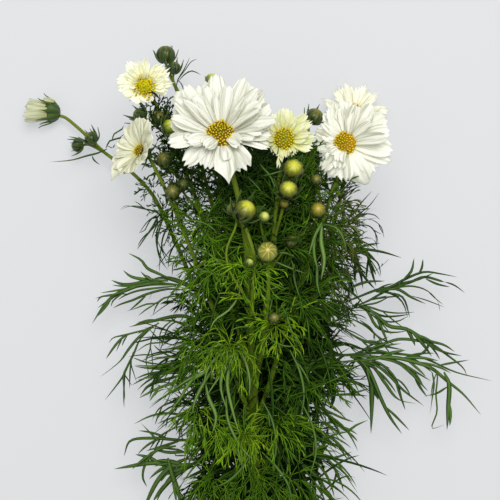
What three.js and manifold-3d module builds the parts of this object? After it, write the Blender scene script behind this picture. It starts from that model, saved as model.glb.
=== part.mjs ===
// One cut, branched flowering stem of a double white cosmos, lying on a flat surface. Units: millimetres, +Z up.
//
// The thick stem runs along +Y from its cut end and forks into thin branches. Each branch ends in a bloom or a bud.
// A bloom is three solids on one axis: the green calyx, the ray petals and the yellow disc. The front bloom's eight
// outer petals are separate solids round a raised inner ring. A bud is one solid with its own thin stalk.
// The leaves are feathery: a midrib with pairs of narrow leaflets, all joined in one solid.
// Solids that touch in the real flower keep a gap of fitGap between them.
//
// Places are given in a growing plan: X across, Y from the cut end towards the blooms, Z up from the surface.
// The whole group is then moved so that the origin is the bottom centre of its bounding box.

import * as THREE from "three";
import { mergeVertices } from "three/addons/utils/BufferGeometryUtils.js";
import Module from "manifold-3d";

const wasm = await Module();
wasm.setup();

// ---- driving dimensions ----
const fitGap = 0.4;
const petalThickness = 1.0;
const mainStem = {
  cutEnd: [6, -300],
  straightLength: 55,
  baseRadius: 5,
  neckRadius: 1.5,
  sides: 8,
};
const branchSides = 6;
const branchBaseRadius = 2.3;
const branchNeckRadius = 1.3;
const leafletThickness = 1.1;
const leafletWidth = 2.4;

// ---- finishes ----
const finish = (name, color, roughness) =>
  new THREE.MeshStandardMaterial({ name, color, roughness, metalness: 0 });
const petalWhite = finish("petal", 0xf6f5ee, 0.6);
const petalCream = finish("young_petal", 0xf3f1c8, 0.6);
const discYellow = finish("disc", 0xc9a70c, 0.8);
const calyxGreen = finish("calyx", 0x3c6424, 0.6);
const budGreen = finish("bud", 0x9aa332, 0.5);
const stemGreen = finish("stem", 0x6f8f2c, 0.55);
const leafGreen = finish("leaf", 0x3f6b2a, 0.55);

const vec = (p) => new THREE.Vector3(...p);
const upward = new THREE.Vector3(0, 0, 1);

// ---- shape helpers ----

// A closed body through rings of points, each ring with the same count, with a fan over each end.
function loft(rings) {
  const count = rings[0].length;
  const points = rings.flat();
  const faces = [];
  for (let r = 0; r < rings.length - 1; r++) {
    for (let i = 0; i < count; i++) {
      const a = r * count + i;
      const b = r * count + ((i + 1) % count);
      faces.push([a, b, b + count], [a, b + count, a + count]);
    }
  }
  const last = (rings.length - 1) * count;
  for (let i = 1; i < count - 1; i++) {
    faces.push([0, i + 1, i], [last, last + i, last + i + 1]);
  }
  const sixVolumes = faces.reduce(
    (sum, [a, b, c]) =>
      sum + points[a].dot(new THREE.Vector3().crossVectors(points[b], points[c])),
    0,
  );
  if (sixVolumes < 0) faces.forEach((f) => f.reverse());
  return new THREE.BufferGeometry()
    .setFromPoints(points)
    .setIndex(faces.flat());
}

// Tangent, side and face directions along a line of points. The side direction is carried along without twist.
function framesAlong(points, faceHint) {
  const side = new THREE.Vector3();
  return points.map((point, i) => {
    const before = points[Math.max(i - 1, 0)];
    const after = points[Math.min(i + 1, points.length - 1)];
    const tangent = new THREE.Vector3().subVectors(after, before).normalize();
    if (i === 0) side.crossVectors(tangent, faceHint).normalize();
    side.addScaledVector(tangent, -side.dot(tangent)).normalize();
    const face = new THREE.Vector3().crossVectors(side, tangent);
    return { point, side: side.clone(), face };
  });
}

// A tapered tube. halfWidth and halfDepth give the section's size at a share of the length.
function tube(points, sides, halfWidth, halfDepth, faceHint = upward) {
  const frames = framesAlong(points, faceHint);
  const rings = frames.map(({ point, side, face }, i) => {
    const share = i / (frames.length - 1);
    return Array.from({ length: sides }, (_, k) => {
      const angle = ((k + 0.5) / sides) * 2 * Math.PI;
      return point
        .clone()
        .addScaledVector(side, Math.cos(angle) * halfWidth(share))
        .addScaledVector(face, Math.sin(angle) * halfDepth(share));
    });
  });
  return loft(rings);
}

function smoothLine(points, steps) {
  return new THREE.CatmullRomCurve3(points.map(vec), false, "centripetal").getPoints(steps);
}

// A turned solid about +Z from [radius, height] pairs that start and end on the axis.
function turned(profile, segments) {
  const points = profile.map(([r, z]) => new THREE.Vector2(r, z));
  return new THREE.LatheGeometry(points, segments).rotateX(Math.PI / 2);
}

function toSolid(geometry) {
  const bare = geometry.clone();
  bare.deleteAttribute("normal");
  bare.deleteAttribute("uv");
  const merged = mergeVertices(bare, 1e-4);
  return new wasm.Manifold(
    new wasm.Mesh({
      numProp: 3,
      vertProperties: merged.attributes.position.array,
      triVerts: new Uint32Array(merged.index.array),
    }),
  );
}

function joined(geometries) {
  const mesh = geometries
    .map(toSolid)
    .reduce((a, b) => a.add(b))
    .getMesh();
  return new THREE.BufferGeometry()
    .setAttribute("position", new THREE.BufferAttribute(mesh.vertProperties, 3))
    .setIndex(new THREE.BufferAttribute(mesh.triVerts, 1));
}

function piece(name, geometry, material) {
  const mesh = new THREE.Mesh(geometry, material);
  mesh.name = name;
  return mesh;
}

// A group whose +Z looks along facing and whose +Y leans towards the plan's +Y.
function facingGroup(at, facing) {
  const z = vec(facing).normalize();
  const x = new THREE.Vector3().crossVectors(new THREE.Vector3(0, 1, 0), z);
  if (x.length() < 0.2) x.set(1, 0, 0).cross(z).cross(z).negate();
  x.normalize();
  const y = new THREE.Vector3().crossVectors(z, x);
  const group = new THREE.Group();
  group.quaternion.setFromRotationMatrix(new THREE.Matrix4().makeBasis(x, y, z));
  group.position.copy(vec(at));
  return group;
}

const flower = new THREE.Group();

// ---- stems ----
const branchSteps = 9;

function stemLine(points, fromRadius, toRadius, steps = branchSteps) {
  const radius = (share) => THREE.MathUtils.lerp(fromRadius, toRadius, Math.sqrt(share));
  return tube(smoothLine(points, steps), branchSides, radius, radius);
}

function mainStemBody() {
  const [x, y] = mainStem.cutEnd;
  const axisHeight = mainStem.baseRadius * Math.cos(Math.PI / mainStem.sides);
  const flatLength = mainStem.straightLength;
  const rising = [
    [x, y + flatLength + 8, axisHeight],
    [5, -190, 18],
    [3, -140, 38],
    [2, -90, 58],
    [0, -40, 76],
    [-2, 0, 90],
    [-8, 36, 101],
    [-15, 60, 103],
    [-17, 69, 109.4],
  ];
  const line = [vec([x, y, axisHeight]), vec([x, y + flatLength, axisHeight])];
  line.push(...smoothLine(rising, 15));
  const flatShare = 0.12; // the cut length lies flat on the surface and doesn't taper
  const radius = (share) => {
    const beyond = Math.max(0, share - flatShare) / (1 - flatShare);
    return THREE.MathUtils.lerp(mainStem.baseRadius, mainStem.neckRadius, beyond);
  };
  return tube(line, mainStem.sides, radius, radius);
}

flower.add(piece("main_stem", mainStemBody(), stemGreen));

const branches = {
  branch_right_front: [
    [6.6, -64, 70],
    [12, -20, 85],
    [17, 30, 88],
    [20, 58, 81],
    [21.4, 69.2, 86.8],
  ],
  branch_right: [
    [10, -98, 55],
    [24, -50, 66],
    [41, 0, 74],
    [54, 40, 77],
    [62, 62, 78],
    [64, 67.2, 83.7],
  ],
  branch_right_back: [
    [9.6, -146, 34],
    [26, -95, 30],
    [50, -10, 19],
    [66, 50, 8],
    [72, 84, 3.2],
    [72.6, 92.4, 3.6],
  ],
  branch_left_back: [
    [-3, -138, 36],
    [-17, -74, 36],
    [-34, -34, 36],
    [-51, 7, 33],
    [-71, 44, 25],
    [-100, 67, 13],
    [-127, 91.2, 8],
  ],
  branch_left: [
    [-4.5, -98, 56],
    [-20, -50, 66],
    [-42, 10, 74],
    [-58, 46, 74],
    [-65.6, 60.8, 78.8],
  ],
  branch_top_left: [
    [-5.5, -58, 70],
    [-16, -20, 66],
    [-34, 30, 61],
    [-52, 74, 58],
    [-65, 102, 59],
    [-67.9, 107.9, 67],
  ],
  branch_top: [
    [-3, -82, 54],
    [-12, -20, 50],
    [-28, 40, 44],
    [-44, 95, 41],
    [-56.4, 123.4, 39],
  ],
  branch_front: [
    [1, -60, 75.5],
    [1.5, -34, 95],
    [2.5, -4, 106],
    [-2.5, 13.6, 107],
  ],
  branch_front_low: [
    [4, -86, 66.6],
    [9, -54, 90],
    [11.5, -26, 104],
    [10.8, -3.6, 110.8],
  ],
};
for (const [name, line] of Object.entries(branches)) {
  flower.add(piece(name, stemLine(line, branchBaseRadius, branchNeckRadius), stemGreen));
}

// ---- blooms ----

// The green cup under a bloom. It ends fitGap below the petals.
function calyx(radius, depth) {
  return turned(
    [
      [0, -depth],
      [radius * 0.34, -depth],
      [radius * 0.8, -depth * 0.75],
      [radius, -depth * 0.3],
      [radius * 0.92, -fitGap],
      [0, -fitGap],
    ],
    10,
  );
}

function discDome(radius, floorHeight) {
  return turned(
    [
      [0, floorHeight],
      [radius, floorHeight],
      [radius * 0.94, floorHeight + radius * 0.25],
      [radius * 0.6, floorHeight + radius * 0.45],
      [0, floorHeight + radius * 0.5],
    ],
    12,
  );
}

// A dish of joined petals: flat under the disc, then rising by cup to a scalloped rim.
function petalDish({ flatRadius, radius, cup, lobes, floorHeight = 0 }) {
  const around = lobes * 3;
  const ring = (share, lift) =>
    Array.from({ length: around }, (_, k) => {
      const angle = (k / around) * 2 * Math.PI;
      const scallop = 1 - 0.07 * share * (k % 3 === 0 ? 1 : 0);
      const r = THREE.MathUtils.lerp(flatRadius, radius, share) * scallop;
      const z = floorHeight + lift + cup * share ** 1.4;
      return new THREE.Vector3(r * Math.cos(angle), r * Math.sin(angle), z);
    });
  const inner = (lift) =>
    ring(0, lift).map((p) => new THREE.Vector3(p.x * 0.4, p.y * 0.4, p.z));
  return loft([
    inner(petalThickness),
    ring(0, petalThickness),
    ring(0.5, petalThickness),
    ring(1, petalThickness),
    ring(1, 0),
    ring(0.5, 0),
    ring(0, 0),
    inner(0),
  ]);
}

// One separate ray petal, lying along +X from the bloom's centre: flat under the inner ring, then raised by lift.
function rayPetal({ innerRadius, flatRadius, length, width, lift }) {
  const slope = THREE.MathUtils.degToRad(lift);
  const flat = flatRadius - innerRadius;
  const stations = [
    { share: 0, width: 0.16 },
    { share: flat / length, width: 0.36 },
    { share: 0.62, width: 1 },
    { share: 0.92, width: 0.9 },
    { share: 1, width: 0.5 },
  ];
  const rings = stations.map((station) => {
    const beyond = Math.max(0, station.share * length - flat);
    const x = innerRadius + station.share * length - beyond * (1 - Math.cos(slope));
    const z = beyond * Math.sin(slope);
    const half = (station.width * width) / 2;
    const top = z + petalThickness;
    const crease = 0.25 * station.width;
    return [
      [x, -half, top],
      [x, 0, top - crease],
      [x, half, top],
      [x, half, z],
      [x, 0, z - crease],
      [x, -half, z],
    ].map(vec);
  });
  return loft(rings);
}

const blooms = [
  {
    name: "front_bloom",
    at: [-17, 73, 118],
    facing: [0, 0.42, 0.91],
    discRadius: 8.7,
    calyxRadius: 6.5,
    calyxDepth: 8.6,
  },
  {
    name: "right_bloom",
    at: [60.3, 68.5, 92],
    facing: [-0.42, 0.15, 0.9],
    discRadius: 7.4,
    radius: 29,
    cup: 5,
    calyxRadius: 6,
    calyxDepth: 8,
  },
  {
    name: "back_bloom",
    at: [73.5, 97.6, 11.4],
    facing: [0.1, 0.55, 0.83],
    discRadius: 6.8,
    radius: 25,
    cup: 5,
    calyxRadius: 5.6,
    calyxDepth: 8,
  },
  {
    name: "young_bloom_right",
    at: [21.5, 70.2, 95],
    facing: [0, 0.1, 0.99],
    discRadius: 6.4,
    radius: 16.5,
    cup: 5,
    calyxRadius: 5.2,
    calyxDepth: 7,
    young: true,
  },
  {
    name: "young_bloom_left",
    at: [-67.9, 106, 75],
    facing: [0, -0.25, 0.97],
    discRadius: 6.8,
    radius: 17.5,
    cup: 5,
    calyxRadius: 5.4,
    calyxDepth: 7,
    young: true,
  },
  {
    name: "left_bloom",
    at: [-71, 64, 85],
    facing: [-0.62, 0.36, 0.7],
    discRadius: 5.6,
    radius: 22,
    cup: 11,
    calyxRadius: 5.4,
    calyxDepth: 7.6,
  },
];

const rayCount = 8;
const rayLift = 24; // degrees: the far petals stand up by this much, the near ones hang by more
const rayDrop = 34;

function addFrontPetals(group, bloom) {
  for (let k = 0; k < rayCount; k++) {
    const turn = ((k + 0.5) / rayCount) * 2 * Math.PI;
    const height = Math.sin(turn);
    const petal = piece(
      `${bloom.name}_petal_${k + 1}`,
      rayPetal({
        innerRadius: 4.4,
        flatRadius: bloom.discRadius + 1,
        length: 30,
        width: 15.5,
        lift: height > 0 ? rayLift * height : rayDrop * height,
      }),
      petalWhite,
    );
    petal.rotation.z = turn;
    group.add(petal);
  }
  const innerFloor = petalThickness + fitGap;
  const inner = petalDish({
    flatRadius: bloom.discRadius + 0.5,
    radius: 17,
    cup: 9.5,
    lobes: 9,
    floorHeight: innerFloor,
  });
  group.add(piece(`${bloom.name}_inner_petals`, inner, petalWhite));
  return innerFloor;
}

function addBloom(bloom) {
  const group = facingGroup(bloom.at, bloom.facing);
  const petals = bloom.young ? petalCream : petalWhite;
  let petalFloor = 0;
  if (bloom.radius) {
    const dish = petalDish({ ...bloom, flatRadius: bloom.discRadius + 0.5, lobes: 8 });
    group.add(piece(`${bloom.name}_petals`, dish, petals));
  } else {
    petalFloor = addFrontPetals(group, bloom);
  }
  const discFloor = petalFloor + petalThickness + fitGap;
  group.add(piece(`${bloom.name}_disc`, discDome(bloom.discRadius, discFloor), discYellow));
  group.add(piece(`${bloom.name}_calyx`, calyx(bloom.calyxRadius, bloom.calyxDepth), calyxGreen));
  flower.add(group);
}
blooms.forEach(addBloom);

// The half-open bloom on the long left branch: a tuft of furled petals in a deep calyx.
function addHalfOpenBloom() {
  const group = facingGroup([-136, 95, 7.8], [-0.93, 0.35, 0.02]);
  const tuft = turned(
    [
      [0, 0],
      [5.6, 0],
      [7.4, 5],
      [7.8, 13],
      [5.5, 17.5],
      [0, 18.5],
    ],
    10,
  );
  group.add(piece("half_open_bloom_petals", tuft, petalCream));
  group.add(piece("half_open_bloom_calyx", calyx(7, 9), calyxGreen));
  flower.add(group);
}
addHalfOpenBloom();

// ---- buds ----
const budStalkRadius = 1.1;

function budBody(radius) {
  return turned(
    [
      [0, -radius * 0.95],
      [radius * 0.62, -radius * 0.75],
      [radius * 0.98, -radius * 0.1],
      [radius * 0.86, radius * 0.5],
      [radius * 0.4, radius * 0.86],
      [0, radius * 0.9],
    ],
    10,
  );
}

const buds = [
  { name: "bud_top", at: [-57, 132.2, 40], facing: [-0.05, 1, 0.1], radius: 6.6 },
  {
    name: "bud_left_small",
    at: [-119, 72, 13],
    facing: [-0.95, -0.1, 0.1],
    radius: 4.2,
    stalkFrom: [-100.5, 63.6, 13],
  },
  {
    name: "bud_left_upper",
    at: [-55.6, 58.2, 75],
    facing: [-0.2, 0.5, 0.85],
    radius: 4.6,
    stalkFrom: [-42, 44, 63.4],
  },
  {
    name: "bud_left_lower",
    at: [-47, 38.6, 84],
    facing: [0, 0.3, 0.95],
    radius: 4.8,
    stalkFrom: [-40, 15, 76],
  },
  { name: "bud_front", at: [-3.1, 24.1, 115], facing: [0.25, 0.6, 0.75], radius: 7 },
  { name: "bud_front_star", at: [10.8, -1.2, 119], facing: [0, 0.25, 0.97], radius: 6.4 },
  {
    name: "bud_middle_upper",
    at: [29.5, 52, 108],
    facing: [0.1, 0.4, 0.9],
    radius: 6.5,
    stalkFrom: [19.5, 26, 88.5],
  },
  {
    name: "bud_middle_lower",
    at: [25, 35.5, 113],
    facing: [0.1, 0.4, 0.9],
    radius: 5.8,
    stalkFrom: [15.6, 2, 90.4],
  },
  {
    name: "bud_right",
    at: [42.8, 25.2, 100],
    facing: [0, 0.3, 0.95],
    radius: 5.2,
    stalkFrom: [38, -14, 76],
  },
  {
    name: "bud_right_upper",
    at: [42.2, 87.1, 66],
    facing: [0, 0.9, 0.4],
    radius: 5.6,
    stalkFrom: [45, 22, 70],
  },
];

function addBud({ name, at, facing, radius, stalkFrom }) {
  const group = facingGroup(at, facing);
  const body = budBody(radius);
  if (!stalkFrom) {
    group.add(piece(name, body, budGreen));
    flower.add(group);
    return;
  }
  group.updateMatrixWorld(true);
  const start = group.worldToLocal(vec(stalkFrom));
  const neck = new THREE.Vector3(0, 0, -radius * 0.7);
  const below = new THREE.Vector3(0, 0, -radius * 2);
  const line = new THREE.QuadraticBezierCurve3(start, below, neck).getPoints(5);
  const half = () => budStalkRadius;
  group.add(piece(name, joined([body, tube(line, 5, half, half, vec([0, 1, 0.3]))]), budGreen));
  flower.add(group);
}
buds.forEach(addBud);

// ---- leaves ----

// A leaflet's line: from root along heading, bending down as it goes.
function leafLine(root, heading, length, droop, steps) {
  return Array.from({ length: steps + 1 }, (_, i) => {
    const share = i / steps;
    return root
      .clone()
      .addScaledVector(heading, length * share)
      .addScaledVector(upward, -droop * length * share ** 2);
  });
}

// A feathery leaf along +Y with its face to +Z.
function leaf({ length, droop, pairs = 3 }) {
  const along = new THREE.Vector3(0, 1, 0);
  const ribWidth = (share) => leafletWidth * (0.5 - 0.32 * share);
  const ribDepth = (share) => leafletThickness * (0.6 - 0.25 * share);
  const rib = leafLine(new THREE.Vector3(), along, length, droop, 4);
  const parts = [tube(rib, 4, ribWidth, ribDepth)];
  const leaflet = (share) => leafletWidth * 0.5 * Math.max(0.2, 1 - share ** 3);
  const blade = () => leafletThickness / 2;
  for (let k = 0; k < pairs; k++) {
    const share = 0.3 + (0.55 * k) / (pairs - 1);
    const root = new THREE.Vector3(0, length * share, -droop * length * share ** 2);
    const reach = length * (0.42 - 0.24 * Math.abs(share - 0.35));
    for (const sign of [-1, 1]) {
      const heading = new THREE.Vector3(sign * 0.62, 0.78, -2 * droop * share * 0.6).normalize();
      parts.push(tube(leafLine(root, heading, reach, droop * 0.6, 2), 4, leaflet, blade));
    }
  }
  return joined(parts);
}

// A leaf that rests is lowered until its lowest point lies on the surface, as the stem's flat length does.
const leaves = [
  { name: "leaf_right_high", from: [50, -32, 25], to: [133, -4, 22], droop: 0.12 },
  { name: "leaf_right_long", from: [32, -89, 34], to: [150, -84, 34], droop: 0.22, rests: true },
  { name: "leaf_right_low", from: [11, -158, 31], to: [86, -148, 26], droop: 0.2 },
  { name: "leaf_left_high", from: [-54, 6, 27], to: [-104, -22, 24], droop: 0.12 },
  { name: "leaf_left_long", from: [-24, -64, 30], to: [-106, -74, 24], droop: 0.2, rests: true },
  { name: "leaf_left_low", from: [-5, -152, 30], to: [-86, -146, 26], droop: 0.22, rests: true },
  { name: "leaf_bottom_left", from: [-2, -186, 14], to: [-42, -228, 15], droop: 0.16, rests: true },
  { name: "leaf_bottom_right", from: [12, -186, 14], to: [52, -226, 15], droop: 0.16, rests: true },
  { name: "leaf_middle_left", from: [-10, -78, 67], to: [-58, -40, 92], droop: 0.3 },
  { name: "leaf_middle_right", from: [22, -68, 70], to: [74, -22, 88], droop: 0.3 },
  { name: "leaf_top_right", from: [62, 14, 24], to: [104, 62, 26], droop: 0.12 },
  { name: "leaf_front", from: [3, -124, 55], to: [8, -170, 96], droop: 0.35 },
];

for (const { name, from, to, droop, rests } of leaves) {
  const along = vec(to).sub(vec(from));
  const y = along.clone().normalize();
  const x = new THREE.Vector3().crossVectors(y, upward).normalize();
  const z = new THREE.Vector3().crossVectors(x, y);
  const mesh = piece(name, leaf({ length: along.length(), droop }), leafGreen);
  mesh.quaternion.setFromRotationMatrix(new THREE.Matrix4().makeBasis(x, y, z));
  mesh.position.copy(vec(from));
  if (rests) mesh.position.z -= new THREE.Box3().setFromObject(mesh, true).min.z;
  flower.add(mesh);
}

// ---- the frame: origin at the bottom centre of the box ----
const wholeBox = new THREE.Box3().setFromObject(flower, true);
const middle = wholeBox.getCenter(new THREE.Vector3());
flower.position.set(-middle.x, -middle.y, -wholeBox.min.z);

export default flower;
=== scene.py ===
# A cut, branched stem of double white cosmos lying on a pale surface.
# Lists of places are in millimetres on the growing plan: X across, Y from the cut end to the blooms, Z up.
import math

import bmesh
import bpy
import numpy as np
from mathutils import Matrix, Vector


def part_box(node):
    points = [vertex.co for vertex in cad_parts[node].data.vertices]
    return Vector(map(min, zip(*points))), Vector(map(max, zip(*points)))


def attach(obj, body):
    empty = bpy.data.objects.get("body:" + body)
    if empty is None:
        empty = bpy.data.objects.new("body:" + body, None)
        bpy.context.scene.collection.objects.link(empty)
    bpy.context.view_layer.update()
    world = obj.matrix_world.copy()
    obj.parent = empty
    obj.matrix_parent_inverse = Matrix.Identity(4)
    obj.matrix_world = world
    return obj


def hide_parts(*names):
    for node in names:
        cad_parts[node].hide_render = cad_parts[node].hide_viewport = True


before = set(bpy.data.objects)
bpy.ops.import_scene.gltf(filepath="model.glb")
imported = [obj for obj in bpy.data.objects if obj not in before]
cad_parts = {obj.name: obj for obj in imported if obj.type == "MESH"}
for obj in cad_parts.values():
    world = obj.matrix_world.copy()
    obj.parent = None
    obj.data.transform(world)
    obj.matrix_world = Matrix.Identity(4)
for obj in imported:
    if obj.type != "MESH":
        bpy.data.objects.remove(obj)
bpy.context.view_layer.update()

mm = 0.001
planZero = {"frontBloomX": -17.0, "cutEndY": -300.0}
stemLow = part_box("main_stem")[0]
discLow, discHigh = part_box("front_bloom_disc")
planShift = np.array([
    (discLow.x + discHigh.x) / 2 / mm - planZero["frontBloomX"],
    stemLow.y / mm - planZero["cutEndY"],
    0.0,
])
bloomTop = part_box("front_bloom_petal_1")[1].z / mm
print("frame loaded, plan shift", [round(float(v), 3) for v in planShift])


goldenAngle = 2.399963
seeds = {"discs": 5, "foliage": 77, "buds": 90, "smallBuds": 120, "longLeaves": 300, "strands": 400}


# small sums on vectors
def unit(vector):
    vector = np.asarray(vector, float)
    return vector / max(np.linalg.norm(vector), 1e-9)


def smoothStep(value, low, high):
    share = np.clip((value - low) / (high - low), 0, 1)
    return share * share * (3 - 2 * share)


def blendOf(first, second, share):
    return first + (second - first) * share


# a row's values by the names of its fields; a dictionary at its end holds what only some rows have
def named(fields, row):
    extra = row[len(fields)] if len(row) > len(fields) else {}
    return {**dict(zip(fields, row)), **extra}


def camelName(name):
    first, *rest = name.split("_")
    return first + "".join(word.capitalize() for word in rest)


# The same smooth line as the stems of the frame: a centripetal Catmull-Rom spline.
def smoothLine(points, steps):
    points = np.asarray(points, float)
    ends = [2 * points[0] - points[1]], [2 * points[-1] - points[-2]]
    padded = np.vstack([ends[0], points, ends[1]])
    out = []
    for share in np.linspace(0, len(points) - 1, steps + 1):
        k = min(int(share), len(points) - 2)
        w = share - k
        a, b, c, d = padded[k:k + 4]
        t0, t1, t2 = (max(np.linalg.norm(q - p), 1e-6) ** 0.5 for p, q in ((a, b), (b, c), (c, d)))
        m1 = ((b - a) / t0 - (c - a) / (t0 + t1) + (c - b) / t1) * t1
        m2 = ((c - b) / t1 - (d - b) / (t1 + t2) + (d - c) / t2) * t1
        out.append(b + m1 * w + (3 * (c - b) - 2 * m1 - m2) * w ** 2 + (2 * (b - c) + m1 + m2) * w ** 3)
    return np.array(out)


# Axes of a bloom or bud: +Z looks along facing and +Y leans to the plan's +Y.
def facingAxes(facing):
    z = unit(facing)
    x = np.cross([0, 1, 0], z)
    if np.linalg.norm(x) < 0.2:
        x = np.array([1.0, 0, 0]) - z * z[0]
    x = unit(x)
    return np.column_stack([x, np.cross(z, x), z])


# wires and nodes of a shader or geometry graph
class Wire:
    # one output socket of a graph; sums and products of wires add Math nodes
    def __init__(self, graph, socket):
        self.graph = graph
        self.socket = socket

    def maths(self, operation, *others):
        return self.graph.add("ShaderNodeMath", {"operation": operation}, (self, *others))

    def __add__(self, other):
        return self.maths("ADD", other)

    def __radd__(self, other):
        return self.maths("ADD", other)

    def __mul__(self, other):
        return self.maths("MULTIPLY", other)

    def __rmul__(self, other):
        return self.maths("MULTIPLY", other)

    def __sub__(self, other):
        return self.maths("SUBTRACT", other)

    def __rsub__(self, other):
        return self.graph.add("ShaderNodeMath", {"operation": "SUBTRACT"}, (other, self))

    def __truediv__(self, other):
        return self.maths("DIVIDE", other)

    def __pow__(self, other):
        return self.maths("POWER", other)


class Graph:
    def __init__(self, tree):
        self.tree = tree

    # kind of node, its settings, then its socket values or wires by place or name
    def add(self, kind, settings=None, sockets=(), output=0):
        node = self.tree.nodes.new(kind)
        for key, value in (settings or {}).items():
            if key == "stops":
                setStops(node.color_ramp, value)
            else:
                setattr(node, key, value)
        pairs = sockets.items() if isinstance(sockets, dict) else enumerate(sockets)
        for key, value in pairs:
            if isinstance(value, Wire):
                self.tree.links.new(value.socket, node.inputs[key])
            else:
                node.inputs[key].default_value = value
        if not node.outputs:
            return node
        return Wire(self, node.outputs[output])

    def colour(self, share, low, high):
        return self.add("ShaderNodeMix", {"data_type": "RGBA"}, {0: share, 6: low, 7: high}, 2)

    def ramp(self, share, stops):
        return self.add("ShaderNodeValToRGB", {"stops": stops}, (share,))

    def attribute(self, name):
        return self.add("ShaderNodeAttribute", {"attribute_name": name}, (), 2)

    def vector(self, x, y, z):
        return self.add("ShaderNodeCombineXYZ", {}, (x, y, z))

    # the place at an angle round Z
    def around(self, turn, reach, height):
        return self.vector(turn.maths("COSINE") * reach, turn.maths("SINE") * reach, height)

    def chance(self, low, high, seed):
        return self.add("FunctionNodeRandomValue", {"data_type": "FLOAT"}, {2: low, 3: high, "Seed": seed}, 1)

    def store(self, geometry, name, value):
        settings = {"data_type": "FLOAT", "domain": "POINT"}
        sockets = {"Geometry": geometry, "Name": name, "Value": value}
        return self.add("GeometryNodeStoreNamedAttribute", settings, sockets)


def setStops(ramp, stops):
    while len(ramp.elements) > 1:
        ramp.elements.remove(ramp.elements[-1])
    for k, (place, colour) in enumerate(stops):
        element = ramp.elements[0] if k == 0 else ramp.elements.new(place)
        element.position = place
        element.color = colour


def tint(red, green, blue):
    def linear(value):
        value /= 255
        return value / 12.92 if value <= 0.04045 else ((value + 0.055) / 1.055) ** 2.4
    return linear(red), linear(green), linear(blue), 1.0


# paints, one function for each kind of surface
def newPaint(name):
    material = bpy.data.materials.new(name)
    material.use_nodes = True
    material.node_tree.nodes.clear()
    return material, Graph(material.node_tree)


def objectPlace(graph, scale):
    where = graph.add("ShaderNodeTexCoord", {}, (), 3)
    return graph.add("ShaderNodeMapping", {}, {0: where, 3: scale})


def mottle(graph, scale, detail=3.0, stretch=(1, 1, 1)):
    where = objectPlace(graph, stretch)
    return graph.add("ShaderNodeTexNoise", {}, {"Vector": where, "Scale": scale, "Detail": detail})


# a thin living surface: a satin skin, with some light passing through
def thinSkin(graph, colour, height, finish):
    bump = {"Strength": finish["bump"], "Distance": finish["bumpDepth"] * mm, "Height": height}
    sockets = {
        "Base Color": colour, "Roughness": finish["roughness"], "IOR": finish["ior"],
        "Normal": graph.add("ShaderNodeBump", {}, bump),
    }
    # painted glow: emission in the surface's own colour, which lifts its shade
    if "light" in finish:
        sockets["Emission Color"] = colour
        sockets["Emission Strength"] = finish["light"]
    skin = graph.add("ShaderNodeBsdfPrincipled", {}, sockets)
    if "through" in finish:
        through = graph.add("ShaderNodeBsdfTranslucent", {}, {"Color": finish["glow"]})
        skin = graph.add("ShaderNodeMixShader", {}, (finish["through"], skin, through))
    graph.add("ShaderNodeOutputMaterial", {}, (skin,))


petalFinish = {
    "roughness": 0.55, "ior": 1.4, "bump": 0.3, "bumpDepth": 0.1, "through": 0.25,
    "glow": tint(248, 248, 232),
}


def petalPaint(name, base, body, tip, furrowShade, baseReach, light):
    material, graph = newPaint(name)
    along = graph.attribute("along")
    across = graph.attribute("across")
    shade = graph.attribute("shade")
    veins = (across * 34.0).maths("SINE") * 0.5 + 0.5
    clouds = mottle(graph, 260.0)
    where = graph.vector(across * 1.6 + shade * 9.0, along * 0.35, shade * 6.0)
    streaks = graph.add("ShaderNodeTexNoise", {}, {"Vector": where, "Scale": 2.4, "Detail": 2.0})
    reach = (along + clouds * 0.12 - 0.06) / baseReach
    colour = graph.colour(reach, base, body)
    colour = graph.colour(along ** 2.0, colour, tip)
    # painted shade: soft grey streaks along each petal, stronger on some petals than on others, and a little
    # along the veins
    colour = graph.colour((streaks - 0.45) * (2.0 + shade * 6.0), colour, furrowShade)
    colour = graph.colour(veins * 0.15, colour, furrowShade)
    height = veins * 0.6 + clouds * 0.5
    thinSkin(graph, colour, height, {**petalFinish, "light": light})
    return material


leafFinish = {"roughness": 0.6, "ior": 1.16, "bump": 0.35, "bumpDepth": 0.1}


def leafPaint(name, *tones):
    material, graph = newPaint(name)
    tone = graph.attribute("tone")
    across = graph.attribute("across")
    clouds = mottle(graph, 90.0)
    stops = [(k / (len(tones) - 1), colour) for k, colour in enumerate(tones)]
    colour = graph.ramp(tone + clouds * 0.2 - 0.1, stops)
    # a paler midrib, stronger on lighter leaves: partly the midrib's own colour, partly a painted highlight
    # along its ridge
    paleMidribAndHighlight = (1.0 - across) ** 2.0
    colour = graph.colour(paleMidribAndHighlight * tone * 0.4, colour, tint(140, 168, 66))
    thinSkin(graph, colour, mottle(graph, 900.0), leafFinish)
    return material


stemFinish = {"roughness": 0.5, "ior": 1.25, "bump": 0.4, "bumpDepth": 0.2}


def stemPaint(name, shaded, green, pale):
    material, graph = newPaint(name)
    tone = graph.attribute("tone")
    streaks = mottle(graph, 60.0, 4.0, (6.0, 0.6, 6.0))
    colour = graph.ramp(tone * 0.8 + streaks * 0.4 - 0.1, [(0.0, shaded), (0.45, green), (1.0, pale)])
    colour = graph.colour(mottle(graph, 25.0) * 0.24, colour, tint(112, 96, 46))
    thinSkin(graph, colour, streaks, stemFinish)
    return material


discFinish = {"roughness": 0.7, "ior": 1.35, "bump": 0.5, "bumpDepth": 0.1}


def discPaint(name, heart, rim, foot, pollen):
    material, graph = newPaint(name)
    outward = graph.attribute("outward")
    height = graph.attribute("height")
    clouds = mottle(graph, 700.0)
    body = graph.colour((outward + clouds * 0.5 - 0.35) * 1.6, heart, rim)
    colour = graph.colour(height * 1.5 - 0.3, foot, body)
    colour = graph.colour((height - 0.88) * 5.0, colour, pollen)
    thinSkin(graph, colour, clouds, discFinish)
    return material


calyxFinish = {"roughness": 0.45, "ior": 1.4, "bump": 0.4, "bumpDepth": 0.12}


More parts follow.
